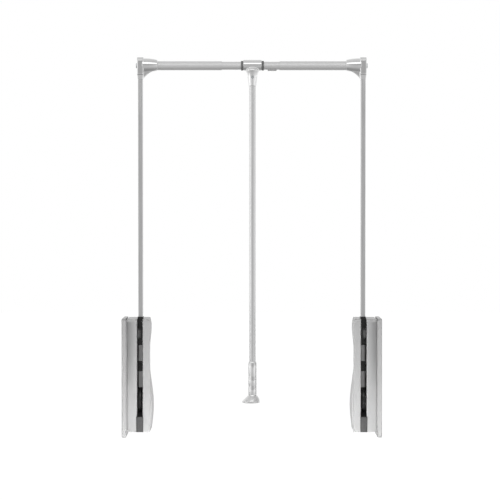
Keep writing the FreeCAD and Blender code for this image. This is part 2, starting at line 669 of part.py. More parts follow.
def rest_buffer():
    body = make_body("left_rest_buffer")
    face_y = plus(arm_rear_y, S.shoe_back, S.fit_gap)
    pad(body, "pad", sketch(body, "pad_outline", XZ, neg(slot_high_y), rectangle(
        minus(arm_x, half(S.buffer_width)), plus(arm_x, half(S.buffer_width)),
        minus(buffer_z, half(S.buffer_height)), plus(buffer_z, half(S.buffer_height)))),
        minus(slot_high_y, face_y))
    pad(body, "stem", sketch(body, "stem_outline", XZ, neg(slot_high_y), circle(
        arm_x, buffer_z, S.buffer_stem_radius)), S.buffer_stem, reverse=True)
    return body


# ---- drive inside the outer shell ----

def pivot_axle():
    body = make_body("left_pivot_axle")
    start_x = plus(minus(island_x, S.axle_bearing_depth), S.fit_gap)
    square_x = minus(cavity_x, half(S.gear_width))
    square_end_x = minus(slot_end_x, S.hub_gap)
    pad(body, "outer_journal", sketch(body, "outer_circle", YZ, start_x, circle(
        pivot_y, pivot_z, S.journal_radius)), minus(square_x, start_x))
    pad(body, "square", sketch(body, "square_outline", YZ, square_x, pivot_square("0")),
        minus(square_end_x, square_x))
    pad(body, "inner_journal", sketch(body, "inner_circle", YZ, square_end_x, circle(
        pivot_y, pivot_z, S.journal_radius)), minus(plus(slot_end_x, S.axle_inner_end), square_end_x))
    return body


def pivot_square(gap):
    """The axle's square, or the hole for it with this gap all round."""
    reach = plus(half(S.axle_square), gap)
    return rectangle(minus(pivot_y, reach), plus(pivot_y, reach),
                     minus(pivot_z, reach), plus(pivot_z, reach))


def pivot_bush():
    body = make_body("left_pivot_bush")
    flange_x = minus(cavity_end_x, S.bush_flange)
    pad(body, "flange", sketch(body, "flange_circle", YZ, flange_x, circle(
        pivot_y, pivot_z, S.bush_flange_radius)), S.bush_flange)
    pad(body, "barrel", sketch(body, "barrel_circle", YZ, cavity_end_x, circle(
        pivot_y, pivot_z, S.bush_radius)), S.shell_wall)
    pocket(body, "square_hole", sketch(body, "square_outline", YZ, slot_x, pivot_square(
        S.running_gap)), plus(S.shell_wall, S.bush_flange))
    return body


def involute(angle):
    return math.tan(angle) - angle


def pinion_outline():
    """Points of the involute teeth, (y, z) round the pivot, one tooth pointing along +Y."""
    module = number(S.gear_module)
    teeth = int(number(S.gear_teeth))
    pressure = math.radians(number(S.pressure_angle))
    pitch = number(pitch_radius)
    base = pitch * math.cos(pressure)
    tip = number(tip_radius)
    root = pitch - 1.25 * module
    flank_radii = [max(base, root), (base + pitch) / 2, pitch, (pitch + tip) / 2, tip]
    pitch_half_angle = math.pi / 2 / teeth - number(S.tooth_play) / 4 / pitch
    flank = [(root, pitch_half_angle + involute(pressure))]
    for radius in flank_radii:
        turn = involute(math.acos(min(1, base / radius)))
        flank.append((radius, pitch_half_angle + involute(pressure) - turn))
    corners = []
    for tooth in range(teeth):
        middle = 2 * math.pi * tooth / teeth
        rise = [(radius, middle - angle) for radius, angle in flank]
        fall = [(radius, middle + angle) for radius, angle in reversed(flank)]
        corners += rise + fall
    return [(radius * math.cos(angle), radius * math.sin(angle)) for radius, angle in corners]


def drive_pinion():
    """A toothed wheel with the axle's square through it; its outline follows a formula."""
    gear = doc.addObject("Part::Feature", "left_drive_pinion")
    corners = [FreeCAD.Vector(0, y, z) for y, z in pinion_outline()]
    face = Part.Face(Part.makePolygon(corners + corners[:1]))
    wheel = face.extrude(FreeCAD.Vector(number(S.gear_width), 0, 0))
    side = number(S.axle_square) + 2 * number(S.running_gap)
    square = Part.makeBox(number(S.gear_width), side, side, FreeCAD.Vector(0, -side / 2, -side / 2))
    gear.Shape = wheel.cut(square)
    put(gear, minus(cavity_x, half(S.gear_width)), pivot_y, pivot_z)
    return gear


def drive_rack():
    body = make_body("left_drive_rack")
    rack_x = minus(cavity_x, half(S.gear_width))
    pad(body, "bar", sketch(body, "bar_outline", YZ, rack_x, rectangle(
        rack_root_y, rack_rear_y, minus(pivot_z, S.rack_below), head_z)), S.gear_width)
    pitch = f"({math.pi} * {S.gear_module})"
    half_tooth = f"({pitch} / 4 - {S.tooth_play} / 4)"
    slope = f"tan({S.pressure_angle})"
    first_z = plus(pivot_z, f"1.5 * {pitch}")
    root_half = f"({half_tooth} + 1.25 * {S.gear_module} * {slope})"
    tip_half = f"({half_tooth} - {S.gear_module} * {slope})"
    tip_y = minus(rack_pitch_y, S.gear_module)
    tooth = pad(body, "tooth", sketch(body, "tooth_outline", YZ, rack_x, outline([
        (rack_root_y, minus(first_z, root_half)),
        (rack_root_y, plus(first_z, root_half)),
        (tip_y, plus(first_z, tip_half)),
        (tip_y, minus(first_z, tip_half)),
    ])), S.gear_width)
    teeth = body.newObject("PartDesign::LinearPattern", "teeth")
    teeth.Originals = [tooth]
    z_axis = [item for item in body.Origin.OriginFeatures if item.Role == "Z_Axis"][0]
    teeth.Direction = (z_axis, [""])
    teeth.Reversed = True
    count = int((number(rack_travel) + 4 * number(pitch)) / number(pitch))
    teeth.Occurrences = count
    teeth.setExpression("Length", f"{count - 1} * {pitch}")
    body.Tip = teeth
    doc.recompute()
    pad(body, "crosshead", sketch(body, "crosshead_outline", YZ, minus(
        cavity_x, half(S.head_width)), rectangle(
        minus(damper_y, S.crosshead_lip), plus(guide_y, S.crosshead_lip), head_z, head_top_z)),
        S.head_width)
    pocket(body, "guide_hole", sketch(body, "guide_place", XY, head_top_z, circle(
        cavity_x, guide_y, plus(S.guide_rod_radius, S.running_gap))), S.head_height)
    return body


def spring_guide():
    body = make_body("left_spring_guide")
    foot_z = plus(shell_foot_z, S.shell_wall)
    turned(body, "Revolution", "rod_and_seat", sketch(body, "profile", XZ, "0", outline([
        ("0", foot_z), (S.guide_rod_radius, foot_z), (S.guide_rod_radius, seat_z),
        (S.spring_radius, seat_z), (S.spring_radius, cavity_top_z), ("0", cavity_top_z),
    ])), "V_Axis")
    put(body, cavity_x, guide_y, "0")
    return body


def lift_spring():
    body = make_body("left_lift_spring")
    pad(body, "coil", sketch(body, "coil_outline", XY, head_top_z, circle(
        cavity_x, guide_y, S.spring_radius), circle(cavity_x, guide_y, S.spring_bore)),
        minus(seat_z, head_top_z))
    return body


def damper_cylinder():
    body = make_body("left_damper_cylinder")
    rod_hole = plus(S.damper_rod_radius, S.running_gap)
    bore_z = plus(damper_foot_z, S.damper_gland)
    bore_top_z = minus(cavity_top_z, S.damper_gland)
    turned(body, "Revolution", "cylinder", sketch(body, "profile", XZ, "0", outline([
        (rod_hole, damper_foot_z), (S.damper_radius, damper_foot_z),
        (S.damper_radius, cavity_top_z), ("0", cavity_top_z), ("0", bore_top_z),
        (S.damper_bore, bore_top_z), (S.damper_bore, bore_z), (rod_hole, bore_z),
    ])), "V_Axis")
    put(body, cavity_x, damper_y, "0")
    return body


def damper_rod():
    body = make_body("left_damper_rod")
    piston_top_z = plus(damper_foot_z, S.damper_engaged)
    piston_z = minus(piston_top_z, S.piston_height)
    piston_radius = minus(S.damper_bore, S.running_gap)
    turned(body, "Revolution", "rod_and_piston", sketch(body, "profile", XZ, "0", outline([
        ("0", head_top_z), (S.damper_rod_radius, head_top_z), (S.damper_rod_radius, piston_z),
        (piston_radius, piston_z), (piston_radius, piston_top_z), ("0", piston_top_z),
    ])), "V_Axis")
    put(body, cavity_x, damper_y, "0")
    return body


# ---- arm ----

def arm_section(grow, front="0", back="0"):
    """The arm tube's outline, grown on its sides and at its front and back."""
    reach = plus(half(S.arm_thickness), grow)
    return rectangle(minus(arm_x, reach), plus(arm_x, reach),
                     minus(arm_front_y, front), plus(arm_rear_y, back))


rivets = [(pivot_y, plus(pivot_z, height)) for height in (S.rivet_low, S.rivet_high)]


def arm_hub():
    body = make_body("left_arm_hub")
    hub_x = plus(slot_x, S.hub_gap)
    disc = pad(body, "disc", sketch(body, "disc_outline", YZ, hub_x, circle(
        pivot_y, pivot_z, S.hub_radius)), f"2 * {hub_half}")
    soften(body, "Fillet", "rim", disc, lambda edge: isinstance(edge.Curve, Part.Circle),
           S.hub_edge)
    pocket(body, "seat", sketch(body, "seat_outline", YZ, slot_end_x, rectangle(
        minus(pivot_y, S.hub_radius), plus(pivot_y, S.hub_radius),
        arm_foot_z, plus(pivot_z, S.hub_radius))), S.slot_width)
    inside = neg(plus(S.arm_wall, S.running_gap))
    pad(body, "tongue", sketch(body, "tongue_outline", XY, arm_foot_z, arm_section(
        inside, inside, inside)), S.tongue_length)
    pocket(body, "holes", sketch(body, "hole_places", YZ, slot_end_x, pivot_square(
        S.running_gap), *[
        circle(y, z, plus(S.rivet_radius, S.running_gap)) for y, z in rivets
    ]), S.slot_width)
    return body


def arm_tube():
    body = make_body("left_arm_tube")
    inside = neg(S.arm_wall)
    tube = pad(body, "tube", sketch(body, "tube_outline", XY, arm_foot_z, arm_section(
        "0"), arm_section(inside, inside, inside)), minus(arm_top_z, arm_foot_z))
    soften(body, "Fillet", "edges", tube,
           lambda edge: straight(edge, 2) and at(edge, 1, arm_front_y, arm_rear_y), S.arm_corner)
    pocket(body, "rivet_holes", sketch(body, "hole_places", YZ, slot_end_x, *[
        circle(y, z, plus(S.rivet_radius, S.running_gap)) for y, z in rivets
    ]), S.slot_width)
    return body


def sleeve(name, foot_z, length, cheek, front, back):
    """A sleeve round the arm tube: its cheeks, front and back are so thick."""
    body = make_body(name)
    ring = pad(body, "ring", sketch(body, "ring_outline", XY, foot_z, arm_section(
        cheek, front, back), arm_section(S.running_gap, S.running_gap, S.running_gap)), length)
    soften(body, "Fillet", "edges", ring, lambda edge: straight(edge, 2) and at(
        edge, 1, minus(arm_front_y, front), plus(arm_rear_y, back)), S.shoe_edge)
    return body


def arm_rivets():
    body = make_body("left_arm_rivets")
    face = half(S.arm_thickness)
    pad(body, "shanks", sketch(body, "shank_places", YZ, minus(arm_x, face), *[
        circle(y, z, S.rivet_radius) for y, z in rivets]), S.arm_thickness)
    pad(body, "inner_heads", sketch(body, "inner_places", YZ, plus(arm_x, face), *[
        circle(y, z, S.rivet_head) for y, z in rivets]), S.rivet_head_height)
    pad(body, "outer_heads", sketch(body, "outer_places", YZ, minus(arm_x, face), *[
        circle(y, z, S.rivet_head) for y, z in rivets]), S.rivet_head_height, reverse=True)
    return body


def corner_bracket():
    """Drawn round the rail's axis: a block on the arm's end, a trumpet for the rail and a web."""
    body = make_body("left_corner_bracket")
    side = half(S.bracket_depth)
    foot = neg(S.bracket_below)
    collar_top = neg(S.collar_below)
    crown = minus(S.bracket_above, S.bracket_bevel)
    block = pad(body, "block", sketch(body, "block_outline", YZ, bracket_outer_x, outline([
        (neg(side), collar_top), (side, collar_top), (side, crown),
        (minus(side, S.bracket_bevel), S.bracket_above),
        (minus(S.bracket_bevel, side), S.bracket_above), (neg(side), crown),
    ])), S.bracket_width)
    soften(body, "Fillet", "upright_edges", block, lambda edge: straight(edge, 2),
           S.bracket_edge)
    collar_reach = plus(half(S.arm_thickness), S.collar_wall)
    collar_side = plus(half(S.arm_depth), S.collar_wall)
    collar = body.newObject("PartDesign::AdditiveLoft", "collar")
    collar.Profile = sketch(body, "collar_top", XY, collar_top, rectangle(
        bracket_outer_x, bracket_inner_x, plus(neg(side), S.bracket_edge),
        minus(side, S.bracket_edge)))
    collar.Sections = [sketch(body, "collar_foot", XY, foot, rectangle(
        minus(arm_x, collar_reach), plus(arm_x, collar_reach), neg(collar_side), collar_side))]
    collar.Ruled = True
    mouth_x = plus(bracket_inner_x, S.trumpet_length)
    rings = [
        sketch(body, f"trumpet_{place}", YZ, x, circle("0", S.casting_lift, radius))
        for place, x, radius in [
            ("root", minus(bracket_inner_x, S.bracket_edge), S.trumpet_root_radius),
            ("shoulder", plus(bracket_inner_x, S.trumpet_shoulder), S.trumpet_shoulder_radius),
            ("mouth", mouth_x, S.trumpet_mouth_radius),
        ]
    ]
    trumpet = body.newObject("PartDesign::AdditiveLoft", "trumpet")
    trumpet.Profile = rings[0]
    trumpet.Sections = rings[1:]
    pad(body, "web", sketch(body, "web_outline", XZ, neg(half(S.web_thickness)), outline([
        (arm_x, "0"), (arm_x, foot), (plus(arm_x, collar_reach), foot),
        (minus(mouth_x, S.web_setback), neg(S.rail_radius)), (mouth_x, "0"),
    ], {2: S.web_radius})), S.web_thickness)
    pocket(body, "rail_socket", sketch(body, "rail_place", YZ, mouth_x, circle(
        "0", "0", plus(S.rail_radius, S.running_gap))), minus(mouth_x, rail_start_x))
    pocket(body, "screw_hole", sketch(body, "screw_place", YZ, rail_start_x, circle(
        "0", "0", plus(S.rail_screw_radius, S.running_gap))), minus(rail_start_x, bracket_outer_x))
    reach = plus(half(S.arm_thickness), S.running_gap)
    deep = plus(half(S.arm_depth), S.running_gap)
    pocket(body, "arm_socket", sketch(body, "arm_place", XY, foot, rectangle(
        minus(arm_x, reach), plus(arm_x, reach), neg(deep), deep)), S.bracket_socket, reverse=True)
    put(body, "0", pivot_y, rail_z)
    return body


def rail_screw():
    body = make_body("left_rail_screw")
    pad(body, "head", sketch(body, "head_outline", YZ, bracket_outer_x, circle(
        "0", "0", S.rail_screw_head)), S.rail_screw_head_height, reverse=True)
    pad(body, "shank", sketch(body, "shank_outline", YZ, bracket_outer_x, circle(
        "0", "0", S.rail_screw_radius)),
        minus(plus(rail_start_x, half(S.rail_plug_length)), bracket_outer_x))
    put(body, "0", pivot_y, rail_z)
    return body


def rail_plug():
    body = make_body("left_rail_plug")
    pad(body, "plug", sketch(body, "plug_outline", YZ, rail_start_x, circle(
        "0", "0", minus(rail_bore, S.running_gap)), circle(
        "0", "0", plus(S.rail_screw_radius, S.running_gap))), S.rail_plug_length)
    put(body, "0", pivot_y, rail_z)
    return body


def tube(name, start_x, end_x, radius):
    """A round tube along the rail's axis."""
    body = make_body(name)
    pad(body, "tube", sketch(body, "tube_outline", YZ, start_x, circle("0", "0", radius), circle(
        "0", "0", minus(radius, S.rail_wall))), minus(end_x, start_x))
    put(body, "0", pivot_y, rail_z)
    return body


# ---- middle of the rail ----

def centre_tube():
    """The thin tube, with the window that the lock button comes out of."""
    start_x = minus(left_rail_end_x, S.centre_overlap)
    body = tube("centre_tube", start_x, plus(right_rail_end_x, S.centre_overlap), centre_radius)
    side = plus(half(S.button_width), S.running_gap)
    reach = plus(half(S.button_length), S.running_gap)
    pocket(body, "button_window", sketch(body, "window_outline", XY, "0", rectangle(
        minus(button_x, reach), plus(button_x, reach), neg(side), side)), S.rail_radius)
    return body


def tee_ring(name, start_x):
    body = make_body(name)
    pad(body, "ring", sketch(body, "ring_outline", YZ, start_x, circle(
        "0", "0", S.ring_radius), circle("0", "0", rail_bore)), S.ring_width)
    put(body, "0", pivot_y, rail_z)
    return body


def tee():
    body = make_body("tee")
    pad(body, "sleeve", sketch(body, "sleeve_outline", YZ, neg(half(S.tee_length)), circle(
        "0", S.casting_lift, S.tee_radius)), S.tee_length)
    turned(body, "Revolution", "neck", sketch(body, "neck_profile", XZ, "0", outline([
        ("0", "0"), (S.neck_top_radius, neg(S.neck_top)), (S.neck_root_radius, neg(S.neck_root)),
        (S.neck_radius, neg(S.neck_middle)), (S.neck_foot_radius, neg(S.neck_length)),
        ("0", neg(S.neck_length)),
    ], {1: S.neck_shoulder, 2: f"-{S.neck_hollow}"})), "V_Axis")
    pocket(body, "rod_socket", sketch(body, "rod_place", XY, neg(S.neck_length), circle(
        "0", "0", plus(S.rod_radius, S.running_gap))), S.rod_socket, reverse=True)
    pocket(body, "rail_bore", sketch(body, "rail_place", YZ, half(S.tee_length), circle(
        "0", "0", rail_bore)), S.tee_length)
    screw_z = neg(S.rod_screw_drop)
    pocket(body, "screw_hole", sketch(body, "screw_place", XZ, S.neck_root_radius, circle(
        "0", screw_z, plus(S.rod_screw_radius, S.running_gap))), f"2 * {S.neck_root_radius}")
    pocket(body, "screw_seat", sketch(body, "seat_place", XZ, S.neck_root_radius, circle(
        "0", screw_z, plus(S.rod_screw_head, half(S.fit_gap)))),
        minus(S.neck_root_radius, S.rod_screw_seat))
    put(body, tee_x, pivot_y, rail_z)
    return body


def pull_rod():
    body = make_body("pull_rod")
    top = minus(S.rod_socket, S.neck_length)
    pad(body, "tube", sketch(body, "tube_outline", XY, rod_foot_z, circle(
        "0", "0", S.rod_radius), circle("0", "0", minus(S.rod_radius, S.rod_wall))),
        minus(top, rod_foot_z))
    pocket(body, "screw_hole", sketch(body, "screw_place", XZ, S.rod_radius, circle(
        "0", neg(S.rod_screw_drop), plus(S.rod_screw_radius, S.running_gap))),
        f"2 * {S.rod_radius}")
    put(body, tee_x, pivot_y, rail_z)
    return body


def rod_screw():
    body = make_body("rod_screw")
    drop = neg(S.rod_screw_drop)
    pad(body, "shank", sketch(body, "shank_outline", XZ, neg(S.rod_radius), circle(
        "0", drop, S.rod_screw_radius)), plus(S.rod_screw_seat, S.rod_radius))
    pad(body, "head", sketch(body, "head_outline", XZ, S.rod_screw_seat, circle(
        "0", drop, S.rod_screw_head)), S.rod_screw_head_height)
    put(body, tee_x, pivot_y, rail_z)
    return body


def handle_grip():
    body = make_body("handle_grip")
    bore = plus(S.rod_radius, S.running_gap)

    def below(drop):
        return minus(grip_top_z, drop)

    groove_radius = minus(S.grip_radius, S.groove_depth)
    grooves = [plus(S.first_groove, f"{index} * {S.groove_spacing}") for index in range(3)]
    turned(body, "Revolution", "grip", sketch(body, "grip_profile", XZ, "0", outline([
        (bore, grip_top_z), (S.grip_top_radius, grip_top_z),
        (S.grip_radius, below(S.grip_shoulder)),
        *[(groove_radius, below(drop)) for drop in grooves],
        (S.grip_foot_radius, grip_foot_z), ("0", grip_foot_z),
        ("0", rod_foot_z), (bore, rod_foot_z),
    ], {2: S.long_bulge, 3: S.short_bulge, 4: S.short_bulge})), "V_Axis")
    put(body, tee_x, pivot_y, rail_z)
    return body


def handle_foot():
    """A bell that flares further to the left, for the fingers."""
    body = make_body("handle_foot")
    rim_z = plus(minus(grip_foot_z, S.foot_length), S.foot_rim)
    flare = body.newObject("PartDesign::AdditiveLoft", "flare")
    flare.Profile = sketch(body, "top_circle", XY, grip_foot_z, circle(
        "0", "0", S.grip_foot_radius))
    flare.Sections = [
        sketch(body, "waist_circle", XY, minus(grip_foot_z, S.foot_waist_drop), circle(
            neg(S.foot_waist_shift), "0", S.foot_waist_radius)),
        sketch(body, "rim_circle", XY, rim_z, circle(neg(S.foot_shift), "0", S.foot_radius)),
    ]
    rim = pad(body, "rim", sketch(body, "rim_place", XY, rim_z, circle(
        neg(S.foot_shift), "0", S.foot_radius)), S.foot_rim, reverse=True)
    soften(body, "Fillet", "rim_edge", rim,
           lambda edge: at(edge, 2, minus(grip_foot_z, S.foot_length)), S.foot_edge)
    put(body, tee_x, pivot_y, rail_z)
    return body


# ---- lock button ----

def lock_button():
    body = make_body("lock_button")
    foot = neg(plus(centre_radius, S.button_proud))
    reach = half(S.button_length)
    side = half(S.button_width)
    stem = pad(body, "stem", sketch(body, "stem_outline", XY, foot, rectangle(
        neg(reach), reach, neg(side), side)), minus(flange_z, foot))
    soften(body, "Fillet", "dome", stem, lambda edge: at(edge, 2, foot), S.button_edge)
    pad(body, "flange", sketch(body, "flange_outline", XY, flange_z, rectangle(
        neg(reach), reach, neg(flange_reach), flange_reach)), S.button_flange)
    put(body, button_x, pivot_y, rail_z)
    return body


def lock_spring():
    body = make_body("lock_spring")
    top = f"sqrt({centre_bore} ^ 2 - {S.button_spring_radius} ^ 2)"
    foot = plus(flange_z, S.button_flange)
    pad(body, "coil", sketch(body, "coil_outline", XY, foot, circle(
        "0", "0", S.button_spring_radius), circle("0", "0", S.button_spring_bore)),
        minus(top, foot, S.running_gap))
    put(body, button_x, pivot_y, rail_z)
    return body


def mirrored(source):
    """The right-hand twin of a left-hand piece."""
    twin = doc.addObject("Part::Mirroring", source.Name.replace("left_", "right_"))
    twin.Source = source
    twin.Normal = FreeCAD.Vector(1, 0, 0)
    twin.setExpression("Base.x", half(S.overall_width))
    return twin


left_pieces = [
    wall_plate(),
    outer_shell(),
    inner_shell(),
    housing_screws(),
    stop_block(),
    rest_buffer(),
    pivot_axle(),
    pivot_bush(),
    drive_pinion(),
    drive_rack(),
    spring_guide(),
    lift_spring(),
    damper_cylinder(),
    damper_rod(),
    arm_hub(),
    arm_tube(),
    sleeve("left_arm_shoe", minus(plus(shell_top_z, S.shoe_proud), S.shoe_length), S.shoe_length,
           S.shoe_thickness, S.shoe_front, S.shoe_back),
    sleeve("left_arm_band", plus(pivot_z, S.band_rise), S.band_length, S.band_thickness,
           S.band_thickness, S.band_thickness),
    arm_rivets(),
    corner_bracket(),
    rail_screw(),
    rail_plug(),
]
right_pieces = [mirrored(piece) for piece in left_pieces]
middle_pieces = [
    tube("left_rail_tube", rail_start_x, left_rail_end_x, S.rail_radius),
    tube("right_rail_tube", right_rail_end_x, minus(S.overall_width, rail_start_x),
         S.rail_radius),
    centre_tube(),
    tee_ring("tee_ring_left", minus(tee_left_x, S.ring_width, S.running_gap)),
    tee_ring("tee_ring_right", plus(tee_right_x, S.running_gap)),
    tee(),
    pull_rod(),
    rod_screw(),
    handle_grip(),
    handle_foot(),
    lock_button(),
    lock_spring(),
]
pieces = left_pieces + right_pieces + middle_pieces

for piece in pieces:
    piece.Label = piece.Name
doc.recompute()

for item in doc.Objects:
    if "Invalid" in item.State or "Error" in item.State:
        raise ValueError(f"{item.Name} failed: {item.State}")
for piece in pieces:
    if piece.Shape.isNull() or not piece.Shape.isValid() or not piece.Shape.Solids:
        raise ValueError(f"{piece.Label} has no valid solid")

os.makedirs("parts", exist_ok=True)
for piece in pieces:
    piece.Shape.exportStep(f"parts/{piece.Label}.step")
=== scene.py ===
# %% [markdown]
# # A pull down closet rod
#
# This wardrobe lift hangs clothes high up in a wardrobe and brings them down on two swinging
# arms. On each side a housing is screwed to the wardrobe's wall, an arm stands in its slot, and a
# telescopic rail joins the arms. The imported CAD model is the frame: it has every piece at its real
# place, and each Blender piece rides on one of its bodies.

# %% Load the frame
import math

import bmesh
import bpy
from mathutils import Matrix, Vector


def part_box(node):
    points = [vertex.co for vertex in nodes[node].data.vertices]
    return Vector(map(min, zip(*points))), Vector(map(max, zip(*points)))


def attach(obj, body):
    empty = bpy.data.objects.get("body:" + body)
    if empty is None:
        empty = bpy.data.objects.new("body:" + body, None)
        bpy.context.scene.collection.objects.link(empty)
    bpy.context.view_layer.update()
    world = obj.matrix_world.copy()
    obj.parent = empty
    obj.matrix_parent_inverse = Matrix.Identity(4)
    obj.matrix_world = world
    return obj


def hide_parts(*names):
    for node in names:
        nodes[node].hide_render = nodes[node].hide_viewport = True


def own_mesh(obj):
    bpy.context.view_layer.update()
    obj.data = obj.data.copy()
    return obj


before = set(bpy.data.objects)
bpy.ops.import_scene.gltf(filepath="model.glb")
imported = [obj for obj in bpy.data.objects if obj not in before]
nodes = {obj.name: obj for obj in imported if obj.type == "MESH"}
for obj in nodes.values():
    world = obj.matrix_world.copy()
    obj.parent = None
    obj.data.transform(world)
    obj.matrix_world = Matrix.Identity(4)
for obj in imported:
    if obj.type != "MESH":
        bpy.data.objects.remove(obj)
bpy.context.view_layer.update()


# %% [markdown]
# A few axes place everything else, and the frame knows them all. Halfway between the wall plates
# is the plane that mirrors the left side into the right one. The rail's axis runs through the
# stop rings, the pull rod hangs below the tee, and the left arm's tube gives the upright through
# its bracket and its rivets. They could be typed in, but measured ones follow the CAD model.

# %% Measure the main axes
MM = 0.001


def centre(node):
    """The middle of a CAD node's box in metres, to a hundredth of a millimetre."""
    low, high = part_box(node)
    return [round((start + end) / 2, 5) for start, end in zip(low, high)]


MIDDLE = round((centre("left_wall_plate")[0] + centre("right_wall_plate")[0]) / 2, 5)
RAIL_Y, RAIL_Z = centre("tee_ring_left")[1:]
ROD_X = centre("pull_rod")[0]
ARM_X = centre("left_arm_tube")[0]
print("middle", MIDDLE, "rail", (RAIL_Y, RAIL_Z), "pull rod", ROD_X, "left arm", ARM_X)

# %% [markdown]
# ## The camera
#
# A lift is shown from straight ahead and a little above its middle, with a long lens from more than
# four metres off, so that its upright lines hardly lean together.

# %% Place the camera
camera_back, camera_up, camera_aside, camera_tilt = 4.25, 0.38, 0.004, 1.284
view = bpy.data.cameras.new("view_camera")
view.sensor_width = 36
view.lens = 136.1
camera = bpy.data.objects.new("view_camera", view)
camera.location = (MIDDLE - camera_aside, -camera_back, camera_up)
camera.rotation_euler = (math.radians(90 - camera_tilt), 0, 0)
bpy.context.collection.objects.link(camera)
bpy.context.scene.camera = camera
bpy.context.scene.view_settings.view_transform = "Standard"
print("camera", tuple(round(value, 3) for value in camera.location))


# %% [markdown]
# ## The studio
#
# Chrome shows its surroundings more than itself, so the world is a soft room: brightest behind the
# object and to its left, darker in front and overhead, and darkest below. Colour ramps on the
# ray's direction make it, with nothing to load. The camera itself finds plain white, and so does a
# ray that a piece mirrors or lets through to the back of the room.

# %% Build the room of light
def ramp(tree, value, *stops):
    """A colour ramp through (position, grey) stops, driven by a value."""
    node = tree.nodes.new("ShaderNodeValToRGB")
    node.color_ramp.interpolation = "EASE"
    while len(node.color_ramp.elements) < len(stops):
        node.color_ramp.elements.new(0.5)
    for element, (position, grey) in zip(node.color_ramp.elements, stops):
        element.position = position
        element.color = (grey, grey, grey, 1)
    tree.links.new(value, node.inputs["Fac"])
    return node.outputs["Color"]


def combine(tree, operation, *values):
    """A Math node on a few values, each a socket or a plain number."""
    node = tree.nodes.new("ShaderNodeMath")
    node.operation = operation
    for socket, value in zip(node.inputs, values):
        if isinstance(value, bpy.types.NodeSocket):
            tree.links.new(value, socket)
        else:
            socket.default_value = value
    return node.outputs["Value"]


def turned_share(tree, part):
    """Turns a part of a direction, from -1 to 1, into a share from 0 to 1."""
    return combine(tree, "MULTIPLY_ADD", part, 0.5, 0.5)


def rays(tree):
    """Whether a ray comes from the camera, and whether a piece mirrored it or let it through."""
    path = tree.nodes.new("ShaderNodeLightPath")
    mirrored = combine(tree, "MAXIMUM", path.outputs["Is Glossy Ray"],
                       path.outputs["Is Transmission Ray"])
    return path.outputs["Is Camera Ray"], mirrored


world = bpy.data.worlds.new("studio")
world.use_nodes = True
bpy.context.scene.world = world
room = world.node_tree
room.nodes.clear()
direction = room.nodes.new("ShaderNodeTexCoord")
axes = room.nodes.new("ShaderNodeSeparateXYZ")
room.links.new(direction.outputs["Generated"], axes.inputs["Vector"])
sideways, backwards, upwards = [turned_share(room, axes.outputs[axis]) for axis in "XYZ"]
side_light = ramp(room, sideways, (0.0, 1.1), (0.5, 1.0), (0.7, 0.9), (0.85, 0.86), (1.0, 0.96))
depth_light = ramp(room, backwards, (0.0, 0.43), (0.02, 0.49), (0.05, 0.6), (0.2, 0.8),
                   (0.5, 0.9), (1.0, 1.0))
height_light = ramp(room, upwards, (0.0, 0.4), (0.2, 0.8), (0.5, 1.0), (0.7, 0.9), (0.9, 0.76),
                    (1.0, 0.76))
glow = combine(room, "MULTIPLY", combine(room, "MULTIPLY", depth_light, side_light), height_light)
studio_light = room.nodes.new("ShaderNodeBackground")
room.links.new(glow, studio_light.inputs["Color"])
plain_white = room.nodes.new("ShaderNodeBackground")
plain_white.inputs["Color"].default_value = (1, 1, 1, 1)
from_camera, mirrored = rays(room)
behind = ramp(room, backwards, (0.7, 0.0), (0.95, 1.0))
seen_behind = combine(room, "MULTIPLY", mirrored, behind)
shows_white = combine(room, "MAXIMUM", from_camera, seen_behind)
choice = room.nodes.new("ShaderNodeMixShader")
room.links.new(shows_white, choice.inputs["Fac"])
room.links.new(studio_light.outputs["Background"], choice.inputs[1])
room.links.new(plain_white.outputs["Background"], choice.inputs[2])
world_output = room.nodes.new("ShaderNodeOutputWorld")
room.links.new(choice.outputs["Shader"], world_output.inputs["Surface"])
print("studio world has", len(room.nodes), "nodes")


# %% [markdown]
# Soft boxes shape the metal: a long one above the front draws the white line along the rail's
# castings, a tall one on the left draws the streak down the handle, and a low one lifts the feet of
# the housings without showing in the chrome. Each is an area lamp, whose size decides how soft it
# is.

# %% Hang the soft boxes
def soft_box(name, place, aim, size, power, in_mirrors=True):
    """An area lamp that looks from its place to its aim."""
    lamp = bpy.data.lights.new(name, "AREA")
    lamp.shape = "RECTANGLE"
    lamp.size, lamp.size_y = size
    lamp.energy = power
    box = bpy.data.objects.new(name, lamp)
    box.location = place
    box.visible_camera = False
    box.visible_glossy = in_mirrors
    box.rotation_euler = (Vector(aim) - Vector(place)).to_track_quat("-Z", "Y").to_euler()
    bpy.context.collection.objects.link(box)


soft_box("top_box", (MIDDLE, -1.85, 1.85), aim=(MIDDLE, 0, 0.7), size=(2.4, 1.1), power=6.9)
soft_box("left_box", (-2.0, -0.65, 0.35), aim=(MIDDLE, 0, 0.3), size=(0.35, 1.6), power=1.5)
soft_box("low_box", (MIDDLE, -0.45, -0.38), aim=(MIDDLE, 0, -0.05), size=(0.6, 0.2), power=5,
         in_mirrors=False)


# %% [markdown]
# The floor lies well below, because the lift hangs on its wardrobe's walls and its handle comes
# down a long way. It is a plain grey, and it shines towards the camera so that it meets the white
# of the room. In the chrome's reflections it shines too, brighter the farther it is from the lift,
# so that near the lift it shows painted shadow of the lift and its wardrobe, and less towards the
# front, where a studio is dark. From below it is clear, so that the lift can also be looked at from
# underneath.

# %% Lay the floor
def bare_material(name):
    """A new material and its tree, with only the output left."""
    material = bpy.data.materials.new(name)
    material.use_nodes = True
    tree = material.node_tree
    for node in list(tree.nodes):
        if node.type != "OUTPUT_MATERIAL":
            tree.nodes.remove(node)
    return material, tree


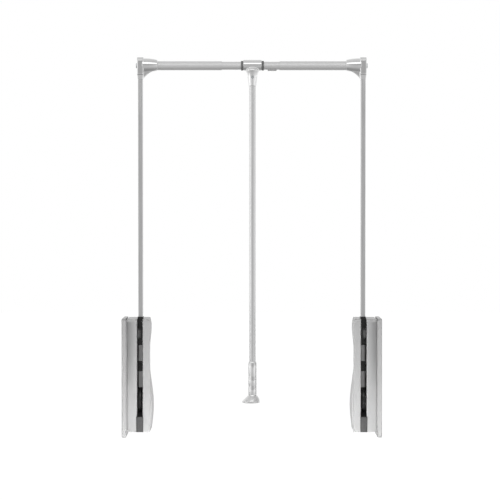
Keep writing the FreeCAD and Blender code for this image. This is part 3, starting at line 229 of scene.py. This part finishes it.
floor_height, floor_reach, floor_setback = -1.2, 20, 4
floor_grey, floor_shine = 0.29, 0.84
floor_paint, tree = bare_material("floor_paint")
matt = tree.nodes.new("ShaderNodeBsdfDiffuse")
matt.inputs["Color"].default_value = (floor_grey, floor_grey, floor_grey, 1)
shine = tree.nodes.new("ShaderNodeEmission")
shine.inputs["Color"].default_value = (1, 1, 1, 1)
spot = tree.nodes.new("ShaderNodeTexCoord")
distance = tree.nodes.new("ShaderNodeVectorMath")
distance.operation = "LENGTH"
tree.links.new(spot.outputs["Object"], distance.inputs[0])
axes = tree.nodes.new("ShaderNodeSeparateXYZ")
tree.links.new(spot.outputs["Object"], axes.inputs["Vector"])
part_way = combine(tree, "DIVIDE", distance.outputs["Value"], floor_reach)
# The shine in mirrors is held low near the lift: painted shadow of the lift and its wardrobe.
far_shine = ramp(tree, part_way, (0.06, 0.08), (0.075, 0.16), (0.095, 0.32), (0.14, 0.48),
                 (0.23, 0.62), (0.45, 0.78), (1.0, 0.95))
bearing = turned_share(
    tree, combine(tree, "DIVIDE", axes.outputs["Y"], distance.outputs["Value"]))
shine_around = ramp(tree, bearing, (0.0, 0.48), (0.05, 0.7), (0.25, 0.92), (0.5, 1.0))
from_camera, mirrored = rays(tree)
in_mirrors = combine(tree, "MULTIPLY", combine(tree, "MULTIPLY", far_shine, shine_around),
                     mirrored)
to_camera = combine(tree, "MULTIPLY", from_camera, floor_shine)
tree.links.new(combine(tree, "ADD", in_mirrors, to_camera), shine.inputs["Strength"])
both = tree.nodes.new("ShaderNodeAddShader")
tree.links.new(matt.outputs["BSDF"], both.inputs[0])
tree.links.new(shine.outputs["Emission"], both.inputs[1])
side_seen = tree.nodes.new("ShaderNodeNewGeometry")
clear = tree.nodes.new("ShaderNodeBsdfTransparent")
clear_below = tree.nodes.new("ShaderNodeMixShader")
tree.links.new(side_seen.outputs["Backfacing"], clear_below.inputs["Fac"])
tree.links.new(both.outputs["Shader"], clear_below.inputs[1])
tree.links.new(clear.outputs["BSDF"], clear_below.inputs[2])
tree.links.new(clear_below.outputs["Shader"], tree.nodes["Material Output"].inputs["Surface"])
slab = bmesh.new()
bmesh.ops.create_grid(slab, x_segments=1, y_segments=1, size=floor_reach)
bmesh.ops.translate(slab, verts=slab.verts, vec=(MIDDLE, floor_setback, floor_height))
floor_mesh = bpy.data.meshes.new("floor")
slab.to_mesh(floor_mesh)
slab.free()
floor = bpy.data.objects.new("floor", floor_mesh)
floor.data.materials.append(floor_paint)
bpy.context.collection.objects.link(floor)
print("floor at z =", floor_height)

# %% [markdown]
# ## The finishes
#
# Every finish starts from the same small recipe: a noise pattern in the piece's own coordinates
# varies its grey and roughness a little, and a second one dents its surface. Stretching the
# pattern along one axis turns mottling into the fine lines of a drawn or brushed tube. It could
# also be painted in textures, but a pattern in nodes stays sharp at any size.

# %% Write the recipe for a finish
finishes = {}
NOISE_LOW, NOISE_HIGH = 0.3, 0.7


def finish(name, grey, rough, size, stretch=(1, 1, 1), tint=(1, 1, 1), metal=0,
           dent=0.1, dent_size=None, dent_depth=0.00005):
    """A finish whose grey and roughness are (middle, spread) pairs over a pattern of that size."""
    (middle_grey, grey_spread), (middle_rough, rough_spread) = grey, rough
    material, tree = bare_material(name)
    surface = tree.nodes.new("ShaderNodeBsdfPrincipled")
    surface.inputs["Metallic"].default_value = metal
    tree.links.new(surface.outputs["BSDF"], tree.nodes["Material Output"].inputs["Surface"])
    place = tree.nodes.new("ShaderNodeTexCoord")
    stretched = tree.nodes.new("ShaderNodeMapping")
    stretched.inputs["Scale"].default_value = stretch
    tree.links.new(place.outputs["Object"], stretched.inputs["Vector"])
    pattern = tree.nodes.new("ShaderNodeTexNoise")
    pattern.inputs["Scale"].default_value = 1 / size
    pattern.inputs["Detail"].default_value = 4
    tree.links.new(stretched.outputs["Vector"], pattern.inputs["Vector"])
    colour = tree.nodes.new("ShaderNodeValToRGB")
    for element, position, side in zip(colour.color_ramp.elements, (NOISE_LOW, NOISE_HIGH),
                                       (-1, 1)):
        element.position = position
        element.color = (*(Vector(tint) * (middle_grey + side * grey_spread)), 1)
    tree.links.new(pattern.outputs["Fac"], colour.inputs["Fac"])
    tree.links.new(colour.outputs["Color"], surface.inputs["Base Color"])
    gloss = tree.nodes.new("ShaderNodeMapRange")
    gloss.inputs["From Min"].default_value = NOISE_LOW
    gloss.inputs["From Max"].default_value = NOISE_HIGH
    gloss.inputs["To Min"].default_value = middle_rough - rough_spread
    gloss.inputs["To Max"].default_value = middle_rough + rough_spread
    tree.links.new(pattern.outputs["Fac"], gloss.inputs["Value"])
    tree.links.new(gloss.outputs["Result"], surface.inputs["Roughness"])
    dents = tree.nodes.new("ShaderNodeTexNoise")
    dents.inputs["Scale"].default_value = 1 / (dent_size or size / 4)
    dents.inputs["Detail"].default_value = 2
    tree.links.new(stretched.outputs["Vector"], dents.inputs["Vector"])
    bump = tree.nodes.new("ShaderNodeBump")
    bump.inputs["Strength"].default_value = dent
    bump.inputs["Distance"].default_value = dent_depth
    tree.links.new(dents.outputs["Fac"], bump.inputs["Height"])
    tree.links.new(bump.outputs["Normal"], surface.inputs["Normal"])
    material.diffuse_color = (middle_grey, middle_grey, middle_grey, 1)
    finishes[name] = material


print("noise runs from", NOISE_LOW, "to", NOISE_HIGH)

# %% [markdown]
# The housings are moulded in a silver plastic: grey with metal flakes in it, a fine spark-eroded
# grain and a soft shine. Their outer shells get a slightly lighter mix of their own, which also
# carries painted shade. The other mouldings are black with a semi-gloss, or plain nylon, whose
# surface is waxy. Rubber is dull, and the stop rings are made of a paler one.

# %% Mix the plastics and rubbers
spark_eroded = {"metal": 0.15, "dent": 0.5, "dent_size": 0.0008, "dent_depth": 0.00003}
semi_gloss = {"size": 0.01, "dent": 0.3, "dent_size": 0.001}
matt_rubber = {"dent": 0.5, "dent_size": 0.0007}
finish("silver_plastic", grey=(0.475, 0.012), rough=(0.44, 0.05), size=0.012, **spark_eroded)
# The outer shells' own mix, which carries painted shade towards the wall.
finish("shell_plastic_painted_shade", grey=(0.48, 0.012), rough=(0.44, 0.05), size=0.012, **spark_eroded)
finish("black_plastic", grey=(0.014, 0.003), rough=(0.26, 0.05), dent_depth=0.00002, **semi_gloss)
finish("grey_plastic", grey=(0.5, 0.015), rough=(0.4, 0.05), **semi_gloss)
finish("white_nylon", grey=(0.74, 0.02), rough=(0.45, 0.06), size=0.008, tint=(1, 0.99, 0.95))
finish("grey_rubber", grey=(0.075, 0.007), rough=(0.68, 0.06), size=0.006, **matt_rubber)
finish("black_rubber", grey=(0.018, 0.004), rough=(0.6, 0.08), size=0.006, **matt_rubber)
finish("ring_rubber", grey=(0.19, 0.02), rough=(0.6, 0.08), size=0.004, **matt_rubber)
print("mouldings:", len(finishes))

# %% [markdown]
# The arms are drawn aluminium with a satin anodised skin, so their lines run along them. The rail
# is satin chromed steel, whose lines run sideways. The pull rod's chrome is a little duller than
# the castings', which are polished and only wave gently where the casting did. Screws and springs
# are steel, with and without a skin of zinc.

# %% Mix the metals
drawn = {"size": 0.0016, "metal": 1, "dent": 0.4, "dent_depth": 0.00002}
upright, along_rail, short_upright = (1, 1, 0.02), (0.02, 1, 1), (1, 1, 0.3)
finish("silver_aluminium", grey=(0.71, 0.03), rough=(0.36, 0.05), stretch=upright, **drawn)
finish("silver_rail", grey=(0.81, 0.02), rough=(0.58, 0.04), stretch=along_rail, **drawn)
finish("satin_chrome", grey=(0.79, 0.025), rough=(0.36, 0.04), stretch=upright, **drawn)
finish("chrome", grey=(0.84, 0.02), rough=(0.1, 0.03), size=0.009, metal=1, dent=0.5,
       dent_size=0.012, dent_depth=0.0002)
finish("zinc_steel", grey=(0.6, 0.06), rough=(0.36, 0.08), size=0.004, metal=1, dent=0.4,
       tint=(0.97, 1, 1.02))
finish("spring_steel", grey=(0.28, 0.04), rough=(0.34, 0.08), size=0.004, metal=1, dent=0.4,
       stretch=short_upright)
print("finishes:", len(finishes))


# %% [markdown]
# Nothing is the same grey all over, and some of these greys are painted shade. The shells
# carry painted shade, darker towards the wall in their upper part; the arms carry painted shade
# from their feet up to the top of the housing; and the stop carries painted shade, nearly black
# along its slope under the hub. The shoe is paler in a band on its side towards the wall. It could
# be painted on by hand, but two ramps over the housing do it for both sides alike: one runs out to
# the wall, and one from the foot to the top.

# %% Paint shade and a pale band into the finishes
# The ramps that paint shade into the finishes run out to the wall and up the housing.
TONE_FROM, TONE_WIDTH = 0.24, 0.04
TONE_FOOT, TONE_HEIGHT = -0.13, 4 / 15


def share(tree, value, start, length):
    """How far a value has come along a length: 0 at its start and 1 at its end."""
    return combine(tree, "MULTIPLY", combine(tree, "SUBTRACT", value, start), 1 / length)


def shade_and_tone_ramps(name, grey, outward_stops, upward_stops):
    """Blends a finish towards a grey by two ramps: one out to the wall, and one up the housing."""
    tree = finishes[name].node_tree
    place = tree.nodes["Texture Coordinate"]
    axes = tree.nodes.new("ShaderNodeSeparateXYZ")
    tree.links.new(place.outputs["Object"], axes.inputs["Vector"])
    from_middle = combine(tree, "ABSOLUTE", combine(tree, "SUBTRACT", axes.outputs["X"], MIDDLE))
    outwards = share(tree, from_middle, TONE_FROM, TONE_WIDTH)
    upwards = share(tree, axes.outputs["Z"], TONE_FOOT, TONE_HEIGHT)
    amount = combine(tree, "MULTIPLY", ramp(tree, outwards, *outward_stops),
                     ramp(tree, upwards, *upward_stops))
    surface = tree.nodes["Principled BSDF"]
    before = surface.inputs["Base Color"].links[0].from_socket
    blend = tree.nodes.new("ShaderNodeMix")
    blend.data_type = "RGBA"
    tree.links.new(amount, blend.inputs["Factor"])
    tree.links.new(before, blend.inputs["A"])
    blend.inputs["B"].default_value = (grey, grey, grey, 1)
    tree.links.new(blend.outputs["Result"], surface.inputs["Base Color"])


everywhere = ((0.0, 1.0), (1.0, 1.0))
# Painted shade: the outer shells darker towards the wall in their upper part.
shade_and_tone_ramps("shell_plastic_painted_shade", 0.27, ((0.4, 0.1), (0.95, 1.0)),
     ((0.19, 0.0), (0.37, 0.15), (0.52, 0.6), (0.7, 0.95), (0.95, 1.0), (0.97, 0.0)))
# Painted shade: the arms darker below the top of the housing, inside its slot.
shade_and_tone_ramps("silver_aluminium", 0.45, everywhere, ((0.97, 1.0), (0.985, 0.0)))
# Painted shade: the stop nearly black along its top, under the hub.
shade_and_tone_ramps("grey_rubber", 0.012, everywhere, ((0.159, 0.0), (0.169, 1.0)))
# The shoe paler in a band on its side towards the wall.
shade_and_tone_ramps("black_plastic", 0.2, ((0.15, 0.0), (0.34, 1.0)),
     ((0.806, 0.0), (0.834, 1.0), (0.872, 1.0), (0.9, 0.0)))
print("worn: shells, arms, stops and shoes")


# %% [markdown]
# Each CAD node says which material slot it belongs to, so the finishes can be handed out in one
# loop. The pull rod and the foot of its handle are satin instead of polished, and the outer shells
# get the mix that carries painted shade.

# %% Dress the CAD nodes
def dress(node, name):
    """Gives a CAD node's object a finish, and leaves its mesh alone."""
    for slot in nodes[node].material_slots:
        slot.link = "OBJECT"
        slot.material = finishes[name]


own_finishes = {
    "pull_rod": "satin_chrome",
    "handle_foot": "satin_chrome",
    "left_outer_shell": "shell_plastic_painted_shade",
    "right_outer_shell": "shell_plastic_painted_shade",
}
for node, item in nodes.items():
    dress(node, own_finishes.get(node, item.data.materials[0].name))
print("dressed", len(nodes), "nodes")

# %% [markdown]
# ## How a piece is made and placed
#
# A piece starts as a bmesh in millimetres or as a copy of a CAD node in metres. Once it is right
# it becomes an object at the origin, with its place in its mesh, rides on a body of the CAD model
# and stands for the nodes that it replaces. The right side of the lift is the left one's mirror
# image, so most shapes are made once and mirrored about the middle of the rail. A piece is shaded
# smooth but for its creases, and springs and castings, which are round all over, have hardly any.

# %% Write the helpers for pieces
TURNS = {
    "X": Matrix.Rotation(math.radians(90), 4, "Y"),
    "-X": Matrix.Rotation(math.radians(-90), 4, "Y"),
    "-Y": Matrix.Rotation(math.radians(90), 4, "X"),
    "Z": Matrix.Identity(4),
}
CREASE, ROUND_CREASE = 35, 60


def seat(shape, place, axis="Z"):
    """Lays a shape drawn in millimetres about Z along an axis, at its place in metres."""
    to_place = Matrix.Translation(place) @ TURNS[axis] @ Matrix.Scale(MM, 4)
    bmesh.ops.transform(shape, matrix=to_place, verts=shape.verts)
    return shape


def piece(name, shape, finish_name, body, *stands_for, crease=CREASE):
    """Turns a bmesh into a smooth shaded piece that rides on a body."""
    mesh = bpy.data.meshes.new(name)
    shape.to_mesh(mesh)
    shape.free()
    mesh.materials.append(finishes[finish_name])
    mesh.shade_smooth()
    mesh.set_sharp_from_angle(angle=math.radians(crease))
    item = bpy.data.objects.new(name, mesh)
    bpy.context.collection.objects.link(item)
    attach(item, body)
    if stands_for:
        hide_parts(*stands_for)
    return item


def pair(name, shape, finish_name, body, *stands_for, crease=CREASE):
    """Places a left piece and its mirror image on the right."""
    other = shape.copy()
    bmesh.ops.scale(other, vec=(-1, 1, 1), verts=other.verts)
    bmesh.ops.translate(other, vec=(2 * MIDDLE, 0, 0), verts=other.verts)
    bmesh.ops.recalc_face_normals(other, faces=other.faces)
    return [
        piece(f"{side}_{name}", half, finish_name, f"{side}_{body}",
              *[f"{side}_{node}" for node in stands_for], crease=crease)
        for side, half in (("left", shape), ("right", other))
    ]


print("helpers ready: edges sharper than", CREASE, "degrees stay crisp")


# %% [markdown]
# Round things are turned: a wire profile of (radius, height, rounding) corners is spun about its
# axis. Rounding the wire's corners first is much easier than bevelling the finished rings, and a
# long rounding makes a gentle swelling.

# %% Write the helper for turned pieces
AROUND = 64


def spun(profile, steps=AROUND):
    """Spins a profile in millimetres into a round shape about Z."""
    shape = bmesh.new()
    corners = [shape.verts.new((radius, 0, height)) for radius, height, _rounding in profile]
    for ends in zip(corners, corners[1:]):
        shape.edges.new(ends)
    for corner, (_radius, _height, rounding) in zip(corners, profile):
        if rounding:
            bmesh.ops.bevel(shape, geom=[corner], offset=rounding, segments=5, profile=0.5,
                            affect="VERTICES", material=-1)
    bmesh.ops.spin(shape, geom=shape.verts[:] + shape.edges[:], cent=(0, 0, 0), axis=(0, 0, 1),
                   angle=math.tau, steps=steps, use_merge=True)
    bmesh.ops.remove_doubles(shape, verts=shape.verts, dist=0.001)
    bmesh.ops.recalc_face_normals(shape, faces=shape.faces)
    return shape


print("steps around a turned piece:", AROUND)

# %% [markdown]
# ## The handle
#
# The grip is a chromed casting that swells gently between three finger grooves. Its bore takes
# the pull rod's foot. It could be carved from a cylinder, but a profile says at once where the
# grooves are and how far the metal swells.

# %% Turn the grip
grip_top, grip_foot = 34, -43
rod_foot, bore = -2, 7.6
groove, swell = 9.75, 11.3
top_groove, pitch = 1, 21
profile = [(0, rod_foot, 0), (bore, rod_foot, 0), (bore, grip_top, 0), (8.8, grip_top, 0.6),
           (10.3, 29, 2.5), (10.75, 15, 11.5)]
for count in range(2):
    height = top_groove - count * pitch
    profile += [(groove, height, 0.4), (swell, height - pitch / 2, 9.5)]
profile += [(groove, top_groove - 2 * pitch, 0.4), (10.9, grip_foot, 0.3), (0, grip_foot, 0)]
grip = piece("grip", seat(spun(profile), (ROD_X, RAIL_Y, 0)), "chrome", "pull_rod", "handle_grip")
print("grip has", len(grip.data.polygons), "faces")


# %% [markdown]
# ## The springs
#
# The lift springs balance the weight on the rail: each is pressed together as its arm comes down.
# A spring is one wire on a helix, so a small circle is spun about the spring's axis while it
# climbs. The end coils lie close, as they do on a spring that stands on its ends.

# %% Wind a spring
def wound(wire, radius, height, turns, place, steps=20):
    """Spins a circle of wire up a helix, with a close coil at each end."""
    wire_sides = 8
    shape = bmesh.new()
    across = Matrix.Translation((radius, 0, wire)) @ Matrix.Rotation(math.radians(90), 4, "X")
    ring = bmesh.ops.create_circle(shape, segments=wire_sides, radius=wire, matrix=across)
    end = ring["verts"] + shape.edges[:]
    close = 2.05 * wire
    pitch = (height - 2 * wire - 2 * close) / (turns - 2)
    for count, rise in ((1, close), (turns - 2, pitch), (1, close)):
        wire_run = bmesh.ops.spin(
            shape, geom=end, cent=(0, 0, 0), axis=(0, 0, 1), dvec=(0, 0, rise / steps),
            angle=math.tau * count, steps=steps * count)
        end = wire_run["geom_last"]
    bmesh.ops.holes_fill(shape, edges=shape.edges, sides=wire_sides)
    bmesh.ops.recalc_face_normals(shape, faces=shape.faces)
    return seat(shape, place)


lift_x, lift_y = centre("left_lift_spring")[:2]
lift_foot, lift_top, rack_travel = -20.5, 126, 36.2
lift_coil = wound(wire=1.1, radius=5.2, height=lift_top - lift_foot, turns=27,
                  place=(lift_x, lift_y, lift_foot * MM))
lift_springs = pair("coil_spring", lift_coil, "spring_steel", "housing", "lift_spring",
                    crease=ROUND_CREASE)
for side, spring in zip(("left", "right"), lift_springs):
    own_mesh(spring)
button_x = centre("lock_button")[0]
button_foot, button_top, button_travel = 693.5, 705.53, 2.5
button_coil = wound(wire=0.5, radius=1.85, height=button_top - button_foot, turns=8,
                    place=(button_x, RAIL_Y, button_foot * MM), steps=16)
button_spring = piece("button_coil", button_coil, "spring_steel", "left_arm", "lock_spring",
                      crease=ROUND_CREASE)
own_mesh(button_spring)
print("wound", len(lift_springs) + 1, "springs")


# %% [markdown]
# ## The castings
#
# The corner brackets and the tee are die castings: every inner corner runs out in a fillet and
# every edge is soft, because hot metal doesn't fill sharp moulds. The CAD nodes have the exact
# sockets but crisp edges. A copy of the node is rebuilt on a fine grid of voxels, and then relaxed
# a few times everywhere but in its sockets. Bevels could do it on a simpler shape, but not where
# a round trumpet runs into a web and a tapering collar.

# %% Write the helpers for castings
VOXEL = 0.00042


def merged(node):
    """A copy of a CAD node with its loose triangles joined."""
    shape = bmesh.new()
    shape.from_mesh(nodes[node].data)
    bmesh.ops.remove_doubles(shape, verts=shape.verts, dist=0.00001)
    return shape


def on_voxels(shape):
    """Rebuilds a closed shape on a grid of voxels."""
    mesh = bpy.data.meshes.new("rough_casting")
    shape.to_mesh(mesh)
    shape.free()
    rough = bpy.data.objects.new("rough_casting", mesh)
    bpy.context.collection.objects.link(rough)
    grid = rough.modifiers.new("grid", "REMESH")
    grid.mode = "VOXEL"
    grid.voxel_size = VOXEL
    evaluated = rough.evaluated_get(bpy.context.evaluated_depsgraph_get())
    shape = bmesh.new()
    shape.from_mesh(evaluated.to_mesh())
    evaluated.to_mesh_clear()
    bpy.data.objects.remove(rough)
    bpy.data.meshes.remove(mesh)
    return shape


def relaxed(shape, is_socket, passes, low=-math.inf, high=math.inf):
    """Smooths a casting between two heights in millimetres, but not where its sockets are."""
    free = [vert for vert in shape.verts
            if low < vert.co.z / MM < high and not is_socket(vert.co / MM)]
    for _turn in range(passes):
        bmesh.ops.smooth_vert(shape, verts=free, factor=0.5, use_axis_x=True, use_axis_y=True,
                              use_axis_z=True)
    return shape


def off_rail(point):
    """How far a point in millimetres is from the rail's axis."""
    return math.hypot(point.y - RAIL_Y / MM, point.z - RAIL_Z / MM)


print("voxels of", VOXEL / MM, "mm")


# %% [markdown]
# The bracket's sockets hold the arm's end from below, the rail from the side and the rail's screw
# from outside. Each is taken a little larger than it is, so that its own wall keeps still while
# the rest relaxes. The collar gets more passes, because a long taper shows the grid's steps the
# longest.

# %% Cast the corner brackets
skin_passes, collar_passes, crotch_passes = 18, 24, 40
rail_socket, rail_socket_start = 10.4, 50.5
screw_socket, screw_socket_end = 6.2, 52.3
arm_socket_x, arm_socket_y, arm_socket_top = 5.6, 10.4, 692
collar_top = 681


def in_bracket_socket(point):
    """Whether a point in millimetres lies on the walls of the left bracket's sockets."""
    in_rail = off_rail(point) < rail_socket and point.x > rail_socket_start
    in_screw = off_rail(point) < screw_socket and point.x < screw_socket_end
    in_arm = (abs(point.x - ARM_X / MM) < arm_socket_x
              and abs(point.y - RAIL_Y / MM) < arm_socket_y and point.z < arm_socket_top)
    return in_rail or in_screw or in_arm


casting = relaxed(on_voxels(merged("left_corner_bracket")), in_bracket_socket, skin_passes)
relaxed(casting, in_bracket_socket, collar_passes, high=collar_top)
brackets = pair("cast_bracket", casting, "chrome", "arm", "corner_bracket", crease=ROUND_CREASE)
print("each bracket has", len(brackets[0].data.polygons), "faces")


# %% [markdown]
# The tee's long bore runs on the centre tube, the pull rod's end is in its neck, and the cross
# screw's head sits in a small seat at the front. Its crotch, between the bore and the neck, is a
# narrow corner that gets more passes too.

# %% Cast the tee
tee_bore, neck_socket, neck_socket_top = 9.5, 7.9, 678.5
screw_height, screw_seat = 672, 3.6
crotch_foot, crotch_top = 680, 696


def in_tee_socket(point):
    """Whether a point in millimetres lies on the walls of the tee's bore, neck or screw seat."""
    off_rod_x = point.x - ROD_X / MM
    in_bore = off_rail(point) < tee_bore
    in_neck = (math.hypot(off_rod_x, point.y - RAIL_Y / MM) < neck_socket
               and point.z < neck_socket_top)
    in_seat = math.hypot(off_rod_x, point.z - screw_height) < screw_seat
    return in_bore or in_neck or in_seat


casting = relaxed(on_voxels(merged("tee")), in_tee_socket, skin_passes)
relaxed(casting, in_tee_socket, crotch_passes, low=crotch_foot, high=crotch_top)
tee_casting = piece("cast_tee", casting, "chrome", "pull_rod", "tee", crease=ROUND_CREASE)
print("the tee has", len(tee_casting.data.polygons), "faces")


# %% [markdown]
# ## The mouldings
#
# Moulded plastic and rubber have small round edges that catch the light. Each of these pieces is a
# copy of its CAD node with its triangles joined into whole faces, and then every sharp edge gets a
# bevel of a few tenths of a millimetre.

# %% Soften the mouldings
def softened(node, width):
    """A copy of a CAD node with all its sharp edges bevelled, by a width in millimetres."""
    shape = merged(node)
    bmesh.ops.dissolve_limit(shape, angle_limit=math.radians(1), verts=shape.verts,
                             edges=shape.edges)
    sharp = [edge for edge in shape.edges
             if edge.is_manifold and edge.calc_face_angle() > math.radians(CREASE)]
    bmesh.ops.bevel(shape, geom=sharp, offset=width * MM, offset_type="OFFSET", segments=3,
                    profile=0.5, affect="EDGES", clamp_overlap=True, material=-1)
    return shape


soft_edges = {
    "arm_shoe": ("black_plastic", "arm", 0.8),
    "arm_band": ("black_plastic", "arm", 0.6),
    "stop_block": ("grey_rubber", "housing", 0.6),
    "rest_buffer": ("black_rubber", "housing", 0.8),
}
for node, (finish_name, body, width) in soft_edges.items():
    made = pair(f"soft_{node}", softened(f"left_{node}", width), finish_name, body, node)
    print(node, "has", len(made[0].data.polygons), "faces")

# %% [markdown]
# The inner shell swells out beside its front strip, where a liner inside the moulding keeps the
# strip's flank and the step behind it closed. It could be two thin walls, but an angle section,
# pulled up along the shell, covers the corner between them as well.

# %% Line the inner shells
liner_left, liner_right, liner_front, liner_back = 62.2, 64.9, -47.6, -40.7
liner_wall, liner_edge, liner_foot, liner_top = 1.25, 0.12, -101, -36
flank, step = liner_left + liner_wall, liner_back - liner_wall
section = ((liner_left, liner_front), (flank, liner_front), (flank, step), (liner_right, step),
           (liner_right, liner_back), (liner_left, liner_back))
liner = bmesh.new()
angle = liner.faces.new([liner.verts.new((x, y, liner_foot)) for x, y in section])
pulled = bmesh.ops.extrude_face_region(liner, geom=[angle])["geom"]
bmesh.ops.translate(liner, vec=(0, 0, liner_top - liner_foot),
                    verts=[part for part in pulled if isinstance(part, bmesh.types.BMVert)])
bmesh.ops.recalc_face_normals(liner, faces=liner.faces)
bmesh.ops.bevel(liner, geom=liner.edges[:], offset=liner_edge, segments=2, profile=0.5,
                affect="EDGES", clamp_overlap=True, material=-1)
liners = pair("shell_liner", seat(liner, (0, 0, 0)), "silver_plastic", "housing")
print("a liner has", len(liners[0].data.polygons), "faces")

# %% [markdown]
# The stop rings beside the tee are plain rubber rings, and the lock button is an oval cap whose
# face is domed for the thumb. A ring is turned, with its outer edges rounded more than its inner
# ones, and the cap is softened as the mouldings are.

# %% Make the rings and the button
ring_bore, ring_rim = 9.1, 10.8
for side in ("left", "right"):
    node = f"tee_ring_{side}"
    low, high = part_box(node)
    width = (high.x - low.x) / MM
    ring = spun([(ring_bore, 0, 0.2), (ring_rim, 0, 0.7), (ring_rim, width, 0.7),
                 (ring_bore, width, 0.2), (ring_bore, 0, 0)])
    piece(f"stop_ring_{side}", seat(ring, (low.x, RAIL_Y, RAIL_Z), "X"), "ring_rubber",
          "left_arm", node)
button = piece("thumb_button", softened("lock_button", 0.5), "grey_plastic", "lock_button",
               "lock_button")
print("button has", len(button.data.polygons), "faces")


# %% [markdown]
# ## The screws and rivets
#
# The screws take a hexagonal key. Their heads are turned with a round mouth, the mouth is bridged
# to a hexagon, and the hexagon is sunk. A boolean cut would do as well, but it leaves long thin
# faces around the hexagon.

# %% Turn the screws
def key_screw(head, height, shank, length, key):
    """A screw along Z, whose head stands on the plane through the origin."""
    mouth, lip, drop, depth = 1.25 * key, 1.35 * key, 0.1, 0.6 * height
    shape = spun([(0, -length, 0), (shank, -length, 0.3), (shank, 0, 0), (head, 0, 0.15),
                  (head, height, 0.3 * height), (lip, height, 0.1), (mouth, height, 0)],
                 steps=48)
    rim = [edge for edge in shape.edges if edge.is_boundary]
    made = bmesh.ops.create_circle(shape, segments=6, radius=key,
                                   matrix=Matrix.Translation((0, 0, height - drop)))
    hexagon = list({edge for vert in made["verts"] for edge in vert.link_edges})
    bmesh.ops.bridge_loops(shape, edges=rim + hexagon)
    sunk = bmesh.ops.extrude_edge_only(shape, edges=hexagon)["geom"]
    low = [part for part in sunk if isinstance(part, bmesh.types.BMVert)]
    bmesh.ops.translate(shape, verts=low, vec=(0, 0, -depth))
    floor_edges = [edge for edge in shape.edges if edge.is_boundary]
    bmesh.ops.holes_fill(shape, edges=floor_edges, sides=6)
    bmesh.ops.recalc_face_normals(shape, faces=shape.faces)
    return shape


def repeated(shape, places):
    """Copies a seated shape from its first place to all the others."""
    first = shape.verts[:] + shape.edges[:] + shape.faces[:]
    for place in places[1:]:
        copied = bmesh.ops.duplicate(shape, geom=first)["geom"]
        bmesh.ops.translate(shape, verts=[part for part in copied
                                          if isinstance(part, bmesh.types.BMVert)],
                            vec=Vector(place) - Vector(places[0]))
    return shape


bracket_face = round(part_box("left_corner_bracket")[0].x, 5)
rail_screw = seat(key_screw(head=5.6, height=2.6, shank=3, length=29.6, key=2),
                  (bracket_face, RAIL_Y, RAIL_Z), "-X")
pair("key_screw", rail_screw, "zinc_steel", "arm", "rail_screw")
head_seat, front_y, back_y, foot_z, top_z = 0.0525, -0.035, 0.0438, -0.106, 0.115
screw_places = [(head_seat, y, z) for y, z in (
    (front_y, foot_z), (back_y, foot_z), (back_y, 0), (back_y, top_z))]
shell_screws = seat(key_screw(head=3.8, height=2.4, shank=2, length=41.5, key=1.5),
                    screw_places[0], "X")
pair("shell_screws", repeated(shell_screws, screw_places), "zinc_steel", "housing",
     "housing_screws")
cross_seat = -0.0148
cross_screw = seat(key_screw(head=3, height=1.5, shank=1.8, length=17.3, key=1.2),
                   (ROD_X, cross_seat, screw_height * MM), "-Y")
piece("cross_screw", cross_screw, "zinc_steel", "pull_rod", "rod_screw")
print("a screw has", len(bpy.data.meshes["cross_screw"].polygons), "faces")

# %% [markdown]
# Two rivets hold each arm's tube in its hub. Both heads of a rivet are pressed round, so it is
# turned in one go, with a dome at each end.

# %% Turn the rivets
face, dome, head, crown, shank = 5.25, 0.8, 3.5, 2.1, 2
rivet = spun([(0, -face - dome, 0), (crown, -face - dome, 1), (head, -face, 0.1),
              (shank, -face, 0), (shank, face, 0), (head, face, 0.1), (crown, face + dome, 1),
              (0, face + dome, 0)], steps=32)
rivet_places = [(ARM_X, RAIL_Y, height) for height in (-0.013, 0.001)]
pair("rivets", repeated(seat(rivet, rivet_places[0], "X"), rivet_places), "zinc_steel", "arm",
     "arm_rivets")
print("rivets at", rivet_places[0][2], "and", rivet_places[1][2])
